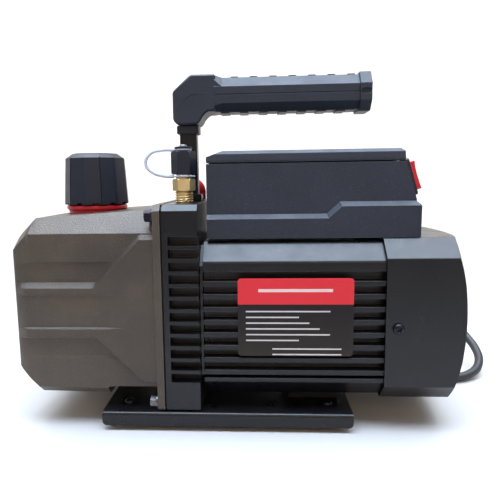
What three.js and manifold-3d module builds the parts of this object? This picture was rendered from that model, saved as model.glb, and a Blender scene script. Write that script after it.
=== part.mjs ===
// A portable rotary-vane vacuum pump for air-conditioning work, in millimetres, +Z up.
// The shaft axis runs along X: oil tank at -X, pump body, motor, then the fan cover at +X.
// The origin is on the ground under the middle of the pump. The front, with its plate, faces -Y.
import * as THREE from 'three'
import { mergeVertices } from 'three/addons/utils/BufferGeometryUtils.js'
import Module from 'manifold-3d'

const wasm = await Module()
wasm.setup()

// ---- Driving dimensions ----
const GAP = 0.3 // clearance between neighbours that touch
const AXIS_Z = 74.4 // height of the shaft
const HALF_LENGTH = 151.3 // from the middle to either end

const BASE = { left: -92.4, right: 76.4, halfWidth: 62, lip: 3.7, top: 13.2, sheet: 2.5, bend: 3 }
const FOOT = { radius: 9, inset: 46, left: -77, right: 61 }
const BLOCK = { left: -48.3, right: -25, halfWidth: 60, bottom: BASE.top + GAP, top: 152.6, bevel: 4 }
const SLOT = { count: 12, first: 126.2, pitch: 8.39, height: 5.8, depth: 8, left: -44.4 }
const FLANGE = { left: -54.2, right: BLOCK.left - 1.1, edge: 1.5 }
const TANK = { wall: 4.5, front: 55, top: 144, bottom: 22.6, rise: 5.2, bevel: 14, corner: 14 }
const WINDOW_DROP = 8 // the oil window lies this far below the shaft
const DRAIN_DROP = 38
const TANK_BOLT = { y: 55, low: 18.3, high: 145.4, radius: 4, head: 5.4 }
const MOTOR = { left: -22.3, right: 99, halfWidth: 58, halfHeight: 52.9, bevel: 12.5, bore: 48.5 }
const FIN = { count: 8, first: 102.3, pitch: 8.6, thickness: 3.4, depth: 7, lowBand: 36.5, highBand: 108.4 }
const COVER = { left: 96, halfWidth: 60, halfHeight: 54.4, bevel: 12, wall: 1.2 }
const BOX = { left: -20, right: 120, halfWidth: 45, skirt: 48, seam: 178.5, top: 187 }
BOX.bottom = AXIS_Z + COVER.halfHeight + GAP
const SWITCH = { x: 114.4, y: -30, z: 168, halfHeight: 10.6 }
const HANDLE = { x: -36.3, top: 242.3, gripTop: 240.5, gripBottom: 216.7, half: 14, end: 94 }
const POST = { width: 12.6, depth: 12, top: 207.6, collar: 5.8 }
const INTAKE = { x: -38, y: -22, radius: 6.6, hex: 8.1 }
const PORT = { x: -36.5, y: 25, radius: 9.5 }
const EXHAUST = { x: -108, seat: 144.5, radius: 24.3 }
const PLATE = { left: 0.5, right: 75.5, bottom: 52.4, top: 104.3, thickness: 1 }
const ROTOR = { radius: 24, offset: 3, slot: 5.2, core: 4 }
const CYLINDER = { left: -84, outer: 36, inner: 29.8 }
const SHAFT_RADIUS = 8
const FAN = { blades: 7, hub: 15, tip: 47, left: 108, right: 124 }
const STATOR = { left: 2, right: 74, bore: 30.6, windingInner: 32, windingOuter: 45, overhang: 13 }
const CORD = { diameter: 7, sides: 10 }
const GLAND = { x: 106, z: 141, end: 75.7 }
const COIL = { x: -25, y: 112, middle: 37.5, turnsWide: 2, turnsHigh: 3 }
const PLUG = { heading: 165, z: 18.5, lead: 36 } // heading: degrees about Z from the coil to the plug

// The mains cord from its gland at the back of the control box, down to the ground past the fan
// cover, under it and along the back of the base to the coil.
const CORD_ROUTE = [
  [106, 76, 141], [106.2, 90, 140.8], [108.5, 105.7, 135.9], [113.9, 118.3, 124.9], [123, 124.4, 109.3],
  [134.9, 124.5, 92.5], [148.7, 120, 76.5], [163.1, 111.7, 62.5], [177.3, 101, 50], [190.8, 89.1, 37.9],
  [202.1, 75.4, 25.9], [206.1, 56.9, 15.7], [201.3, 42.4, 9.3], [191.4, 32.4, 5.6], [177.1, 26.8, 4],
  [159.2, 27.9, 3.6], [141.6, 34.1, 3.6], [124.9, 44.4, 3.6], [107.5, 55.8, 3.6], [88, 64.7, 3.6],
  [66.7, 69.6, 3.6], [44.4, 71.1, 3.6], [22, 71, 3.6], [0.5, 71, 3.6]]

// ---- Materials ----
function finish(color, roughness, metalness) {
  return new THREE.MeshStandardMaterial({ color, roughness, metalness })
}
const castGrey = finish(0x4a4743, 0.75, 0.3)
const blackPaint = finish(0x1b1a1c, 0.4, 0.3)
const darkPlastic = finish(0x2c2f36, 0.6, 0)
const blackPlastic = finish(0x1c1f26, 0.5, 0)
const redPlastic = finish(0xc8242e, 0.45, 0)
const clearPlastic = finish(0xd9dde6, 0.4, 0)
const brass = finish(0xc09a4a, 0.35, 1)
const steel = finish(0x9a9a98, 0.4, 1)
const copper = finish(0xa8622f, 0.5, 0.8)
const rubber = finish(0x151515, 0.85, 0)
const labelFilm = finish(0x2b1d1e, 0.5, 0)
const glass = finish(0xc9b27a, 0.1, 0)

// ---- Solids ----
function signedVolume(points, corners) {
  const [a, b, c] = [new THREE.Vector3(), new THREE.Vector3(), new THREE.Vector3()]
  let total = 0
  for (let i = 0; i < corners.length; i += 3) {
    a.fromArray(points, 3 * corners[i])
    b.fromArray(points, 3 * corners[i + 1])
    c.fromArray(points, 3 * corners[i + 2])
    total += a.dot(b.cross(c)) / 6
  }
  return total
}

function solid(geometry) {
  geometry.deleteAttribute('normal')
  geometry.deleteAttribute('uv')
  const merged = mergeVertices(geometry, 1e-3)
  const index = merged.index.array
  const corners = []
  for (let i = 0; i < index.length; i += 3) {
    const [a, b, c] = index.slice(i, i + 3)
    if (a !== b && b !== c && c !== a) corners.push(a, b, c)
  }
  const vertProperties = new Float32Array(merged.attributes.position.array)
  if (signedVolume(vertProperties, corners) < 0) corners.reverse()
  const triVerts = new Uint32Array(corners)
  return new wasm.Manifold(new wasm.Mesh({ numProp: 3, vertProperties, triVerts }))
}

function join(...solids) {
  return solids.reduce((whole, next) => whole.add(next))
}

function cut(body, ...tools) {
  return tools.reduce((left, tool) => left.subtract(tool), body)
}

function box(x0, x1, y0, y1, z0, z1) {
  const geometry = new THREE.BoxGeometry(x1 - x0, y1 - y0, z1 - z0)
  geometry.translate((x0 + x1) / 2, (y0 + y1) / 2, (z0 + z1) / 2)
  return solid(geometry)
}

function outline(points) {
  return new THREE.Shape(points.map(([u, v]) => new THREE.Vector2(u, v)))
}

function extruded(shape, depth) {
  return new THREE.ExtrudeGeometry(shape, { depth, bevelEnabled: false, curveSegments: 20 })
}

// A (y, z) outline swept along X.
function alongX(shape, x0, x1) {
  const geometry = extruded(shape, x1 - x0)
  const [x, y, z] = [new THREE.Vector3(1, 0, 0), new THREE.Vector3(0, 1, 0), new THREE.Vector3(0, 0, 1)]
  geometry.applyMatrix4(new THREE.Matrix4().makeBasis(y, z, x))
  geometry.translate(x0, 0, 0)
  return solid(geometry)
}

// An (x, z) outline swept along Y.
function alongY(shape, y0, y1) {
  const geometry = extruded(shape, y1 - y0)
  geometry.rotateX(Math.PI / 2)
  geometry.translate(0, y1, 0)
  return solid(geometry)
}

// An (x, y) outline swept along Z.
function alongZ(shape, z0, z1) {
  const geometry = extruded(shape, z1 - z0)
  geometry.translate(0, 0, z0)
  return solid(geometry)
}

function lathe(profile, segments) {
  return new THREE.LatheGeometry(profile.map(([r, h]) => new THREE.Vector2(r, h)), segments)
}

// A (radius, height) profile turned about the vertical.
function turned(profile, segments = 32) {
  return solid(lathe(profile, segments).rotateX(Math.PI / 2))
}

// A (radius, x) profile turned about the X axis at the height of the shaft.
function turnedOnShaft(profile, segments = 40) {
  return solid(lathe(profile, segments).rotateZ(-Math.PI / 2).translate(0, 0, AXIS_Z))
}

// A (radius, y) profile turned about the Y axis.
function turnedAlongY(profile, segments = 16) {
  return solid(lathe(profile, segments))
}

function ring(inner, outer, low, high) {
  return [[inner, low], [outer, low], [outer, high], [inner, high], [inner, low]]
}

function disc(radius, low, high) {
  return [[0, low], [radius, low], [radius, high], [0, high]]
}

function polygonShape(sides, radius, turn = 0) {
  const points = []
  for (let i = 0; i < sides; i++) {
    const angle = turn + (2 * Math.PI * i) / sides
    points.push([radius * Math.cos(angle), radius * Math.sin(angle)])
  }
  return outline(points)
}

function chamfered(u0, u1, v0, v1, c) {
  return outline([[u0 + c, v0], [u1 - c, v0], [u1, v0 + c], [u1, v1 - c],
    [u1 - c, v1], [u0 + c, v1], [u0, v1 - c], [u0, v0 + c]])
}

function mirrored(halfPoints) {
  const back = halfPoints.map(([y, z]) => [-y, z]).reverse()
  return outline([...halfPoints, ...back])
}

const group = new THREE.Group()
function piece(name, body, material, x = 0, y = 0, z = 0, parent = group) {
  const { vertProperties, triVerts } = body.getMesh()
  const geometry = new THREE.BufferGeometry()
  geometry.setAttribute('position', new THREE.BufferAttribute(new Float32Array(vertProperties), 3))
  geometry.setIndex(new THREE.BufferAttribute(new Uint32Array(triVerts), 1))
  const mesh = new THREE.Mesh(geometry, material)
  mesh.name = name
  mesh.position.set(x, y, z)
  parent.add(mesh)
  return mesh
}

// ---- Base: a folded steel channel on four rubber feet ----
function channelShape() {
  const { halfWidth: w, lip, top, sheet, bend } = BASE
  const shape = new THREE.Shape()
  shape.moveTo(-w, lip)
  shape.lineTo(-w + sheet, lip)
  shape.lineTo(-w + sheet, top - sheet)
  shape.lineTo(w - sheet, top - sheet)
  shape.lineTo(w - sheet, lip)
  shape.lineTo(w, lip)
  shape.absarc(w - bend, top - bend, bend, 0, Math.PI / 2, false)
  shape.absarc(-w + bend, top - bend, bend, Math.PI / 2, Math.PI, false)
  return shape
}

function makeBase() {
  let plate = alongX(channelShape(), BASE.left, BASE.right)
  const underside = BASE.top - BASE.sheet
  const footSolid = () => turned([[0, 0], [FOOT.radius - 1.2, 0], [FOOT.radius, 1.2],
    [FOOT.radius, underside - GAP], [0, underside - GAP]], 24)
  for (const [side, x] of [['left', FOOT.left], ['right', FOOT.right]]) {
    for (const [row, y] of [['front', -FOOT.inset], ['back', FOOT.inset]]) {
      plate = cut(plate, alongZ(polygonShape(16, 2.6), 0, BASE.top + 1).translate([x, y, 0]))
      piece(`foot_${row}_${side}`, footSolid(), rubber, x, y)
      const screw = turned([[0, underside], [2.2, underside], [2.2, BASE.top + GAP],
        [3.4, BASE.top + GAP], [2.6, BASE.top + 2], [0, BASE.top + 2.4]], 16)
      piece(`foot_screw_${row}_${side}`, screw, steel, x, y)
    }
  }
  piece('base_plate', plate, blackPaint)
}

// ---- Oil tank: a hollow casting with a bolting flange, closed by the pump body ----
function tankShell(inset, right) {
  const left = -HALF_LENGTH + inset
  const low = TANK.bottom + inset
  const high = TANK.top - inset
  const c = TANK.corner - inset / 2
  const side = outline([[left + c, low], [right, low - 1.6], [right, high + TANK.rise],
    [left + c, high], [left, high - c], [left, low + c]])
  const w = TANK.front - inset / 2
  const bevelFoot = high + 4 - TANK.bevel
  const end = mirrored([[w - 10, low - 4], [w, low + 6], [w, bevelFoot],
    [w - TANK.bevel, bevelFoot + TANK.bevel], [w - TANK.bevel - 8, bevelFoot + TANK.bevel + 8]])
  return alongY(side, -w, w).intersect(alongX(end, left - 1, right + 1))
}

// The funnel-shaped panel that stands proud of both long sides and widens towards the flange.
function tankPanel() {
  const right = FLANGE.left + 1
  const shape = outline([[-HALF_LENGTH + 0.6, 63.1], [-95.5, 63.1], [-64.2, 31.6], [right, 31.6],
    [right, 133.2], [-63.7, 133.2], [-95.5, 101.1], [-HALF_LENGTH + 0.6, 101.1]])
  return alongY(shape, -TANK.front - 2.6, TANK.front + 2.6)
}

function makeTank() {
  const flange = alongX(chamfered(-BLOCK.halfWidth, BLOCK.halfWidth, BLOCK.bottom, BLOCK.top, FLANGE.edge),
    FLANGE.left, FLANGE.right)
  let body = join(tankShell(0, FLANGE.left + 1), tankPanel(), flange)
  const boltRelief = box(-89, FLANGE.left, -70, 70, 0, 28.8)
  const hollow = tankShell(TANK.wall, FLANGE.right + 1)
  const seat = turned(disc(EXHAUST.radius - 1.3, EXHAUST.seat, 160)).translate([EXHAUST.x, 0, 0])
  const mouth = turned(disc(14.3, 120, 160)).translate([EXHAUST.x, 0, 0])
  const end = -HALF_LENGTH
  const window = join(turnedOnShaft(disc(10.5, end - 5, end + 9)),
    turnedOnShaft(disc(14.8, end - 5, end + 3)))
    .translate([0, 0, -WINDOW_DROP])
  const drain = join(turnedOnShaft(disc(4.3, end - 5, end + 9)), turnedOnShaft(disc(7, end - 5, end + 3)))
    .translate([0, 0, -DRAIN_DROP])
  body = cut(body, boltRelief, hollow, seat, mouth, window, drain)
  piece('oil_tank', body, castGrey)

  const gasketOuter = chamfered(-58.5, 58.5, BLOCK.bottom + 1.5, BLOCK.top - 1.5, FLANGE.edge)
  const gasketHole = chamfered(-46, 46, 30, 138, 6)
  const gasketLeft = FLANGE.right + GAP / 2
  const gasket = cut(alongX(gasketOuter, gasketLeft, BLOCK.left - GAP / 2), alongX(gasketHole, -60, -40))
  piece('tank_gasket', gasket, rubber)

  const pane = join(turnedOnShaft(disc(10, end + 1, end + 4.5)),
    turnedOnShaft(disc(11.6, end + 1, end + 2.7)))
  piece('sight_glass', pane, glass, 0, 0, -WINDOW_DROP)
  const bezel = turnedOnShaft(ring(11.9, 14.5, end, end + 3 - GAP), 32)
  piece('sight_glass_ring', bezel, blackPlastic, 0, 0, -WINDOW_DROP)
  const plugHead = alongX(polygonShape(6, 6), end, end + 3 - GAP).translate([0, 0, AXIS_Z])
  const plug = join(turnedOnShaft(disc(4, end + 1, end + 9), 24), plugHead)
  piece('drain_plug', plug, brass, 0, 0, -DRAIN_DROP)
}

function makeTankBolts() {
  const head = alongX(polygonShape(6, TANK_BOLT.radius), -TANK_BOLT.head - GAP, -GAP)
  for (const [row, y] of [['front', -TANK_BOLT.y], ['back', TANK_BOLT.y]]) {
    piece(`tank_bolt_low_${row}`, head, steel, FLANGE.left, y, TANK_BOLT.low)
    piece(`tank_bolt_high_${row}`, head, steel, FLANGE.left, y, TANK_BOLT.high)
  }
}

// ---- Pump body block and the vane pump inside the tank ----
function makePumpBody() {
  const { left, right, halfWidth: w, bottom, top, bevel } = BLOCK
  const section = outline([[-w, bottom], [w, bottom], [w, top - bevel], [w - bevel, top],
    [-w + bevel, top], [-w, top - bevel]])
  const slots = []
  for (let i = 0; i < SLOT.count; i++) {
    const low = SLOT.first - i * SLOT.pitch
    slots.push(box(SLOT.left, right + 1, -w - 1, -w + SLOT.depth, low, low + SLOT.height))
    slots.push(box(SLOT.left, right + 1, w - SLOT.depth, w + 1, low, low + SLOT.height))
  }
  const shaftHole = turnedOnShaft(disc(SHAFT_RADIUS + 1, left - 1, right + 1))
  const intakeHole = turned(disc(INTAKE.radius + GAP, top - 8, top + 1)).translate([INTAKE.x, INTAKE.y, 0])
  const portHole = turned(disc(6.3, top - 8, top + 1)).translate([PORT.x, PORT.y, 0])
  piece('pump_body', cut(alongX(section, left, right), ...slots, shaftHole, intakeHole, portHole), blackPaint)
}

function makeVanePump() {
  const right = BLOCK.left - GAP - 0.2
  const cylinder = turnedOnShaft(ring(CYLINDER.inner, CYLINDER.outer, CYLINDER.left, right), 48)
  const outlet = box(-72, -62, -3, 3, AXIS_Z + 20, AXIS_Z + 40)
  piece('pump_cylinder', cut(cylinder, outlet), castGrey, 0, 0, -ROTOR.offset)
  const cover = ring(SHAFT_RADIUS + 0.6, CYLINDER.outer, CYLINDER.left - 7, CYLINDER.left - GAP)
  piece('pump_end_cover', turnedOnShaft(cover), castGrey)
  piece('discharge_valve', box(-76, -58, -8, 8, 108, 109.2), steel)

  const grooves = [1, -1].map((side) => {
    const [near, far] = [side * ROTOR.core, side * 30].sort((a, b) => a - b)
    return box(-90, -40, near, far, AXIS_Z - ROTOR.slot / 2, AXIS_Z + ROTOR.slot / 2)
  })
  const span = ring(SHAFT_RADIUS - 4.6, ROTOR.radius, CYLINDER.left + GAP, right - GAP)
  piece('pump_rotor', cut(turnedOnShaft(span, 48), ...grooves), steel)
  const half = ROTOR.slot / 2 - GAP
  const vane = box(CYLINDER.left + GAP, right - GAP, ROTOR.core + 0.6, ROTOR.radius - 0.1, -half, half)
  piece('vane_rear', vane, blackPlastic, 0, 0, AXIS_Z)
  piece('vane_front', vane.rotate([180, 0, 0]), blackPlastic, 0, 0, AXIS_Z)
}

// ---- Motor ----
function finnedSection() {
  const { halfWidth: w, halfHeight: h, bevel } = MOTOR
  const root = w - FIN.depth
  const half = [[w - bevel, AXIS_Z - h], [w, AXIS_Z - h + bevel], [w, FIN.lowBand], [root, FIN.lowBand]]
  for (let i = FIN.count - 1; i >= 0; i--) {
    const top = FIN.first - i * FIN.pitch
    const low = top - FIN.thickness
    half.push([root, low], [w, low], [w, top], [root, top])
  }
  half.push([root, FIN.highBand], [w, FIN.highBand], [w, AXIS_Z + h - bevel], [w - bevel, AXIS_Z + h])
  return mirrored(half)
}

function makeMotor() {
  const hollow = turnedOnShaft(disc(MOTOR.bore, MOTOR.left - 1, MOTOR.right + 1), 48)
  piece('motor_housing', cut(alongX(finnedSection(), MOTOR.left, MOTOR.right), hollow), blackPaint)
  const bell = chamfered(-54, 54, AXIS_Z - 50, AXIS_Z + 50, MOTOR.bevel)
  const bearingSeat = (x0, x1) => turnedOnShaft(disc(SHAFT_RADIUS + 5.3, x0, x1))
  const frontLeft = BLOCK.right + GAP
  const frontRight = MOTOR.left - GAP
  const frontHub = turnedOnShaft(disc(19, frontLeft, frontRight + 9))
  const frontBell = join(alongX(bell, frontLeft, frontRight), frontHub)
  piece('front_end_bell', cut(frontBell, bearingSeat(frontLeft - 5, frontRight + 20)), blackPaint)
  const rearLeft = MOTOR.right + GAP
  const rearHub = turnedOnShaft(disc(19, rearLeft - 9, rearLeft + 3))
  const rearBell = join(alongX(bell, rearLeft, rearLeft + 3), rearHub)
  piece('rear_end_bell', cut(rearBell, bearingSeat(rearLeft - 20, rearLeft + 10)), blackPaint)
  const bearing = (x0, x1) => turnedOnShaft(ring(SHAFT_RADIUS + GAP, SHAFT_RADIUS + 5, x0, x1))
  piece('front_bearing', bearing(frontLeft + 2, frontRight + 9), steel)
  piece('rear_bearing', bearing(rearLeft - 9, rearLeft + 2), steel)
  const { left, right, bore, windingInner, windingOuter, overhang } = STATOR
  const winding = (x0, x1) => turnedOnShaft(ring(windingInner, windingOuter, x0, x1), 32)
  piece('stator_core', turnedOnShaft(ring(bore, MOTOR.bore - GAP, left, right), 48), steel)
  piece('winding_front', winding(left - overhang, left - GAP), copper)
  piece('winding_rear', winding(right + GAP, right + overhang), copper)
  piece('motor_rotor', turnedOnShaft(ring(SHAFT_RADIUS + GAP, bore - 0.4, left, right), 48), steel)
  const thin = [[0, CYLINDER.left - 9], [3, CYLINDER.left - 9], [3, BLOCK.left + 2]]
  const thick = [[SHAFT_RADIUS, BLOCK.left + 2], [SHAFT_RADIUS, 126], [0, 126]]
  piece('motor_shaft', turnedOnShaft([...thin, ...thick]), steel)
}

function makeFan() {
  let fan = turnedOnShaft(ring(SHAFT_RADIUS + GAP, FAN.hub, FAN.left, FAN.right), 24)
  for (let i = 0; i < FAN.blades; i++) {
    const blade = box(FAN.left, FAN.right, -1, 1, FAN.hub - 1, FAN.tip)
    fan = fan.add(blade.rotate([(360 * i) / FAN.blades, 0, 0]).translate([0, 0, AXIS_Z]))
  }
  piece('cooling_fan', fan, darkPlastic)
}

// The cover's closed end bulges: this profile gives its reach along X at each distance from the axis.
function coverDome(inset) {
  const reach = HALF_LENGTH - inset
  return [[0, COVER.left - 10], [90, COVER.left - 10], [90, reach - 24], [78, reach - 13.4],
    [70, reach - 8.2], [60, reach - 4.2], [50, reach - 1.6], [40, reach], [0, reach]]
}

function makeFanCover() {
  const z = AXIS_Z
  const section = (inset) => chamfered(-COVER.halfWidth + inset, COVER.halfWidth - inset,
    z - COVER.halfHeight + inset, z + COVER.halfHeight - inset, COVER.bevel - 0.586 * inset)
  const outside = alongX(section(0), COVER.left, 160).intersect(turnedOnShaft(coverDome(0), 64))
  const inside = alongX(section(COVER.wall), COVER.left - 1, 160)
    .intersect(turnedOnShaft(coverDome(COVER.wall + 0.4), 64))
  const slots = []
  for (const row of [-3, -2, -1, 0, 1, 2, 3]) {
    const reach = Math.sqrt(40 ** 2 - (row * 10) ** 2)
    slots.push(box(130, 160, -reach, reach, z + row * 10 - 2.6, z + row * 10 + 2.6))
  }
  piece('fan_cover', cut(outside, inside, ...slots), blackPaint)
  const screw = turnedAlongY([[0, 0], [3.6, 0], [3.2, -1.8], [0, -2.4]])
  piece('cover_screw_front', screw, steel, 104, -COVER.halfWidth - GAP, 71.2)
  piece('cover_screw_back', screw.rotate([180, 0, 0]), steel, 104, COVER.halfWidth + GAP, 71.2)
}

// ---- Control box with its lid, capacitor and rocker switch ----
const SLANT = Math.atan2(7.4, 24.6) // lean of the switch end from upright
function makeControlBox() {
  const { left, right, halfWidth: w, skirt, bottom, seam, top } = BOX
  const wall = 3
  const walls = outline([[left, bottom], [right - 2.6, bottom], [right - 2.6, 153.9], [110, seam],
    [left, seam]])
  const band = outline([[left, bottom], [right, bottom], [right, 150.6], [68.9, 150.6], [60.4, 142.2],
    [left, 142.2]])
  const inside = outline([[left + wall, bottom + wall], [right - 6, bottom + wall], [right - 6, 153],
    [106.5, seam + 1], [left + wall, seam + 1]])
  const gland = turnedAlongY(disc(6.3, 30, 60)).translate([GLAND.x, 0, GLAND.z])
  const switchHole = box(-14, 2, -7, 7, -SWITCH.halfHeight, SWITCH.halfHeight)
    .rotate([0, (-SLANT * 180) / Math.PI, 0]).translate([SWITCH.x, SWITCH.y, SWITCH.z])
  const body = join(alongY(walls, -w, w), alongY(band, -skirt, skirt))
  piece('control_box', cut(body, alongY(inside, -w + wall, w - wall), gland, switchHole), darkPlastic)

  const lidSide = outline([[left, seam + GAP], [109.9, seam + GAP], [109.4, top - 1.6], [107, top],
    [left + 11, top], [left, top - 4]])
  const lidEnd = mirrored([[w, seam], [w, seam + 2], [w - 5, top + 0.1]])
  piece('box_lid', alongY(lidSide, -w, w).intersect(alongX(lidEnd, left - 1, right)), darkPlastic)
  const can = turned(disc(16, 0, 62), 32).rotate([0, 90, 0])
  piece('run_capacitor', can, steel, 0, 8, 150)
}

function makeSwitch() {
  const tilted = new THREE.Group()
  tilted.position.set(SWITCH.x, SWITCH.y, SWITCH.z)
  tilted.rotation.y = -SLANT
  group.add(tilted)
  const high = SWITCH.halfHeight
  const rim = cut(box(GAP, 2.6, -8.5, 8.5, -12.5, 12.5), box(-1, 4, -6.6, 6.6, -high, high))
  piece('switch_bezel', rim, blackPlastic, 0, 0, 0, tilted)
  const end = high - 1.1
  const rocker = outline([[-3, -8.2], [3.2, -end], [7.4, -end], [5.6, 0], [9.2, end], [3.2, end], [-3, 8.2]])
  piece('switch_rocker', alongY(rocker, -6.2, 6.2), redPlastic, 0, 0, 0, tilted)
}

// ---- Handle ----
function gripSection(grow) {
  const { gripTop, gripBottom, half } = HANDLE
  return mirrored([[8 + grow, gripBottom - grow], [half + grow, 222], [half + grow, 233.4],
    [8 + grow, gripTop + grow]])
}

function makeHandle() {
  const { x, top, end } = HANDLE
  const elbow = outline([[x - 7, POST.top + GAP], [x + 8, POST.top + GAP], [x + 10.5, POST.top + 3],
    [x + 10.5, 212], [x + 15, 216.7], [x + 24, 216.7], [x + 24, 240.5], [x + 20, top], [x + 3.3, top],
    [x - 9.7, 230.8], [x - 9.7, POST.top + 3]])
  const elbowSection = chamfered(-13, 13, POST.top - 5, top, 4)
  const corner = alongY(elbow, -13, 13).intersect(alongX(elbowSection, x - 20, x + 30))
  const grip = alongX(gripSection(0), x + 20, end - 6)
  const pommel = alongX(gripSection(1.6), end - 8, end)
  piece('handle_grip', join(corner, grip, pommel), darkPlastic)

  const [w, d] = [POST.width / 2, POST.depth / 2]
  const low = BLOCK.top + GAP
  const post = join(box(-w, w, -d, d, low, POST.top), box(-w - 2.4, w + 2.4, -d - 1, d + 2, low, low + 5))
  piece('handle_post', post, blackPaint, x)
  const collar = cut(box(-8, 8, -8, 8, POST.top - POST.collar, POST.top),
    box(-w - GAP, w + GAP, -d - GAP, d + GAP, 190, 220))
  piece('handle_collar', collar, darkPlastic, x)
}

// ---- Ports on the pump body and on the tank ----
function makeIntake() {
  const r = INTAKE.radius
  const seat = BLOCK.top
  const thread = turned([[0, seat - 6], [r, seat - 6], [r, seat + 8.3], [5.6, seat + 8.3], [5.6, seat + 20],
    [5.1, seat + 28], [0, seat + 28]])
  const hex = alongZ(polygonShape(6, INTAKE.hex, 0.12), seat + 8.3, seat + 16.6)
  piece('intake_fitting', join(thread, hex), brass, INTAKE.x, INTAKE.y)
  const shell = alongZ(polygonShape(6, 8.8, 0.12), seat + 19.8, seat + 35.8)
  const button = turned([[0, seat + 35], [3, seat + 35], [3, seat + 37.6], [6.2, seat + 37.6],
    [6.2, seat + 38.8], [2.8, seat + 39.4], [2.4, seat + 40.7], [0, seat + 40.7]])
  const socket = turned(disc(5.9, seat + 19, seat + 29))
  piece('intake_cap', cut(join(shell, button), socket), blackPlastic, INTAKE.x, INTAKE.y)
  makeStrap(seat)
}

function tube(curve, radius, sides, steps) {
  const shape = polygonShape(sides, radius)
  return solid(new THREE.ExtrudeGeometry(shape, { extrudePath: curve, steps, bevelEnabled: false }))
}

// The soft strap that keeps the intake cap with its fitting: two eyes and a loop between them.
function makeStrap(seat) {
  const [low, high] = [seat + 18.4, seat + 36.8]
  const lowerEye = turned(ring(5.9, 8.2, low - 0.6, low + 0.6), 24)
  const upperEye = turned(ring(3.3, 6, high - 0.6, high + 0.6), 24)
  const middle = (low + high) / 2
  const loop = new THREE.CatmullRomCurve3([[-7, low], [-14, low + 0.4], [-23, low + 3.6], [-27.6, middle],
    [-24, high - 2.6], [-16, high], [-5, high]].map(([x, z]) => new THREE.Vector3(x, 0, z)))
  piece('cap_strap', join(lowerEye, upperEye, tube(loop, 0.7, 8, 24)), clearPlastic, INTAKE.x, INTAKE.y)
}

function makeSecondPort() {
  const seat = BLOCK.top
  const r = PORT.radius
  const plug = turned([[0, seat - 6], [6, seat - 6], [6, seat + GAP], [r, seat + GAP], [r, seat + 7],
    [r - 0.9, seat + 11], [r - 3, seat + 14.4], [r - 6, seat + 16.2], [0, seat + 16.8]])
  piece('port_cap', plug, redPlastic, PORT.x, PORT.y)
}

function makeExhaust() {
  const z = EXHAUST.seat + GAP
  const ringProfile = [[9, z - 6], [14, z - 6], [14, z], [21, z], [21, z + 3], [22.4, z + 3.6],
    [22.4, z + 5.6], [21, z + 6.2], [16.5, z + 6.2], [16.5, z + 15], [9, z + 15], [9, z - 6]]
  piece('exhaust_ring', turned(ringProfile, 36), redPlastic, EXHAUST.x)
  const low = z + 6.7
  const outer = turned([[0, low], [EXHAUST.radius, low], [22.2, low + 34.1], [17.3, low + 37.4],
    [0, low + 37.4]], 12)
  piece('exhaust_cap', cut(outer, turned(disc(17.2, low - 1, low + 12))), blackPlastic, EXHAUST.x)
}

function makePlate() {
  const y = -MOTOR.halfWidth - GAP
  const face = chamfered(PLATE.left, PLATE.right, PLATE.bottom, PLATE.top, 1.5)
  piece('rating_plate', alongY(face, y - PLATE.thickness, y), labelFilm)
}

// ---- Motor foot, mains cord, its gland, coil and plug ----
function makeMotorFoot() {
  const low = BASE.top + GAP
  const high = AXIS_Z - MOTOR.halfHeight - GAP
  piece('motor_foot', box(35, 70, -36, 36, low, high), rubber)
}

function makeCord() {
  const r = CORD.diameter / 2
  const back = BOX.skirt + GAP
  const gland = turnedAlongY([[0, back - 5], [6, back - 5], [6, back], [9, back], [9, back + 3],
    [6.6, back + 3.4], [4.6, GLAND.end], [0, GLAND.end]], 20)
  piece('cord_gland', gland, rubber, GLAND.x, 0, GLAND.z)
  const route = new THREE.CatmullRomCurve3(CORD_ROUTE.map((point) => new THREE.Vector3(...point)))
  piece('power_cord', tube(route, r, CORD.sides, 72), rubber)
  const halfWidth = COIL.turnsWide * r
  const bundle = ring(COIL.middle - halfWidth, COIL.middle + halfWidth, 0.2, COIL.turnsHigh * CORD.diameter)
  piece('cord_coil', turned(bundle, 48), rubber, COIL.x, COIL.y)

  // The lead-out leaves the coil's top outer turn along a tangent and ends at the plug.
  const angle = THREE.MathUtils.degToRad(PLUG.heading)
  const outer = COIL.middle + r
  const clearOfCoil = Math.sqrt((COIL.middle + halfWidth + r + GAP) ** 2 - outer ** 2)
  const lead = new THREE.Group()
  lead.position.set(COIL.x - outer * Math.sin(angle), COIL.y + outer * Math.cos(angle), PLUG.z)
  lead.rotation.z = angle
  group.add(lead)
  const along = (geometry, x) => solid(geometry.rotateZ(-Math.PI / 2)).translate([x, 0, 0])
  const leadOut = along(lathe(disc(r, 0, PLUG.lead - GAP), CORD.sides), 0)
  piece('power_cord_lead_out', leadOut, rubber, clearOfCoil, 0, 0, lead)
  const shell = along(lathe([[0, 0], [4.6, 0], [6.4, 24], [12, 27], [13.5, 44], [18.3, 52], [18.3, 60],
    [0, 60]], 24), 0)
  const pin = along(lathe([[0, 59], [2.4, 59], [2.4, 78], [1.4, 79], [0, 79]], 12), 0)
  const plug = join(shell, pin.translate([0, 9.5, 0]), pin.translate([0, -9.5, 0]))
  piece('mains_plug', plug, blackPlastic, clearOfCoil + PLUG.lead, 0, 0, lead)
}

makeBase()
makeTank()
makeTankBolts()
makePumpBody()
makeVanePump()
makeMotor()
makeFan()
makeFanCover()
makeControlBox()
makeSwitch()
makeHandle()
makeIntake()
makeSecondPort()
makeExhaust()
makePlate()
makeMotorFoot()
makeCord()

export default group
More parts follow.
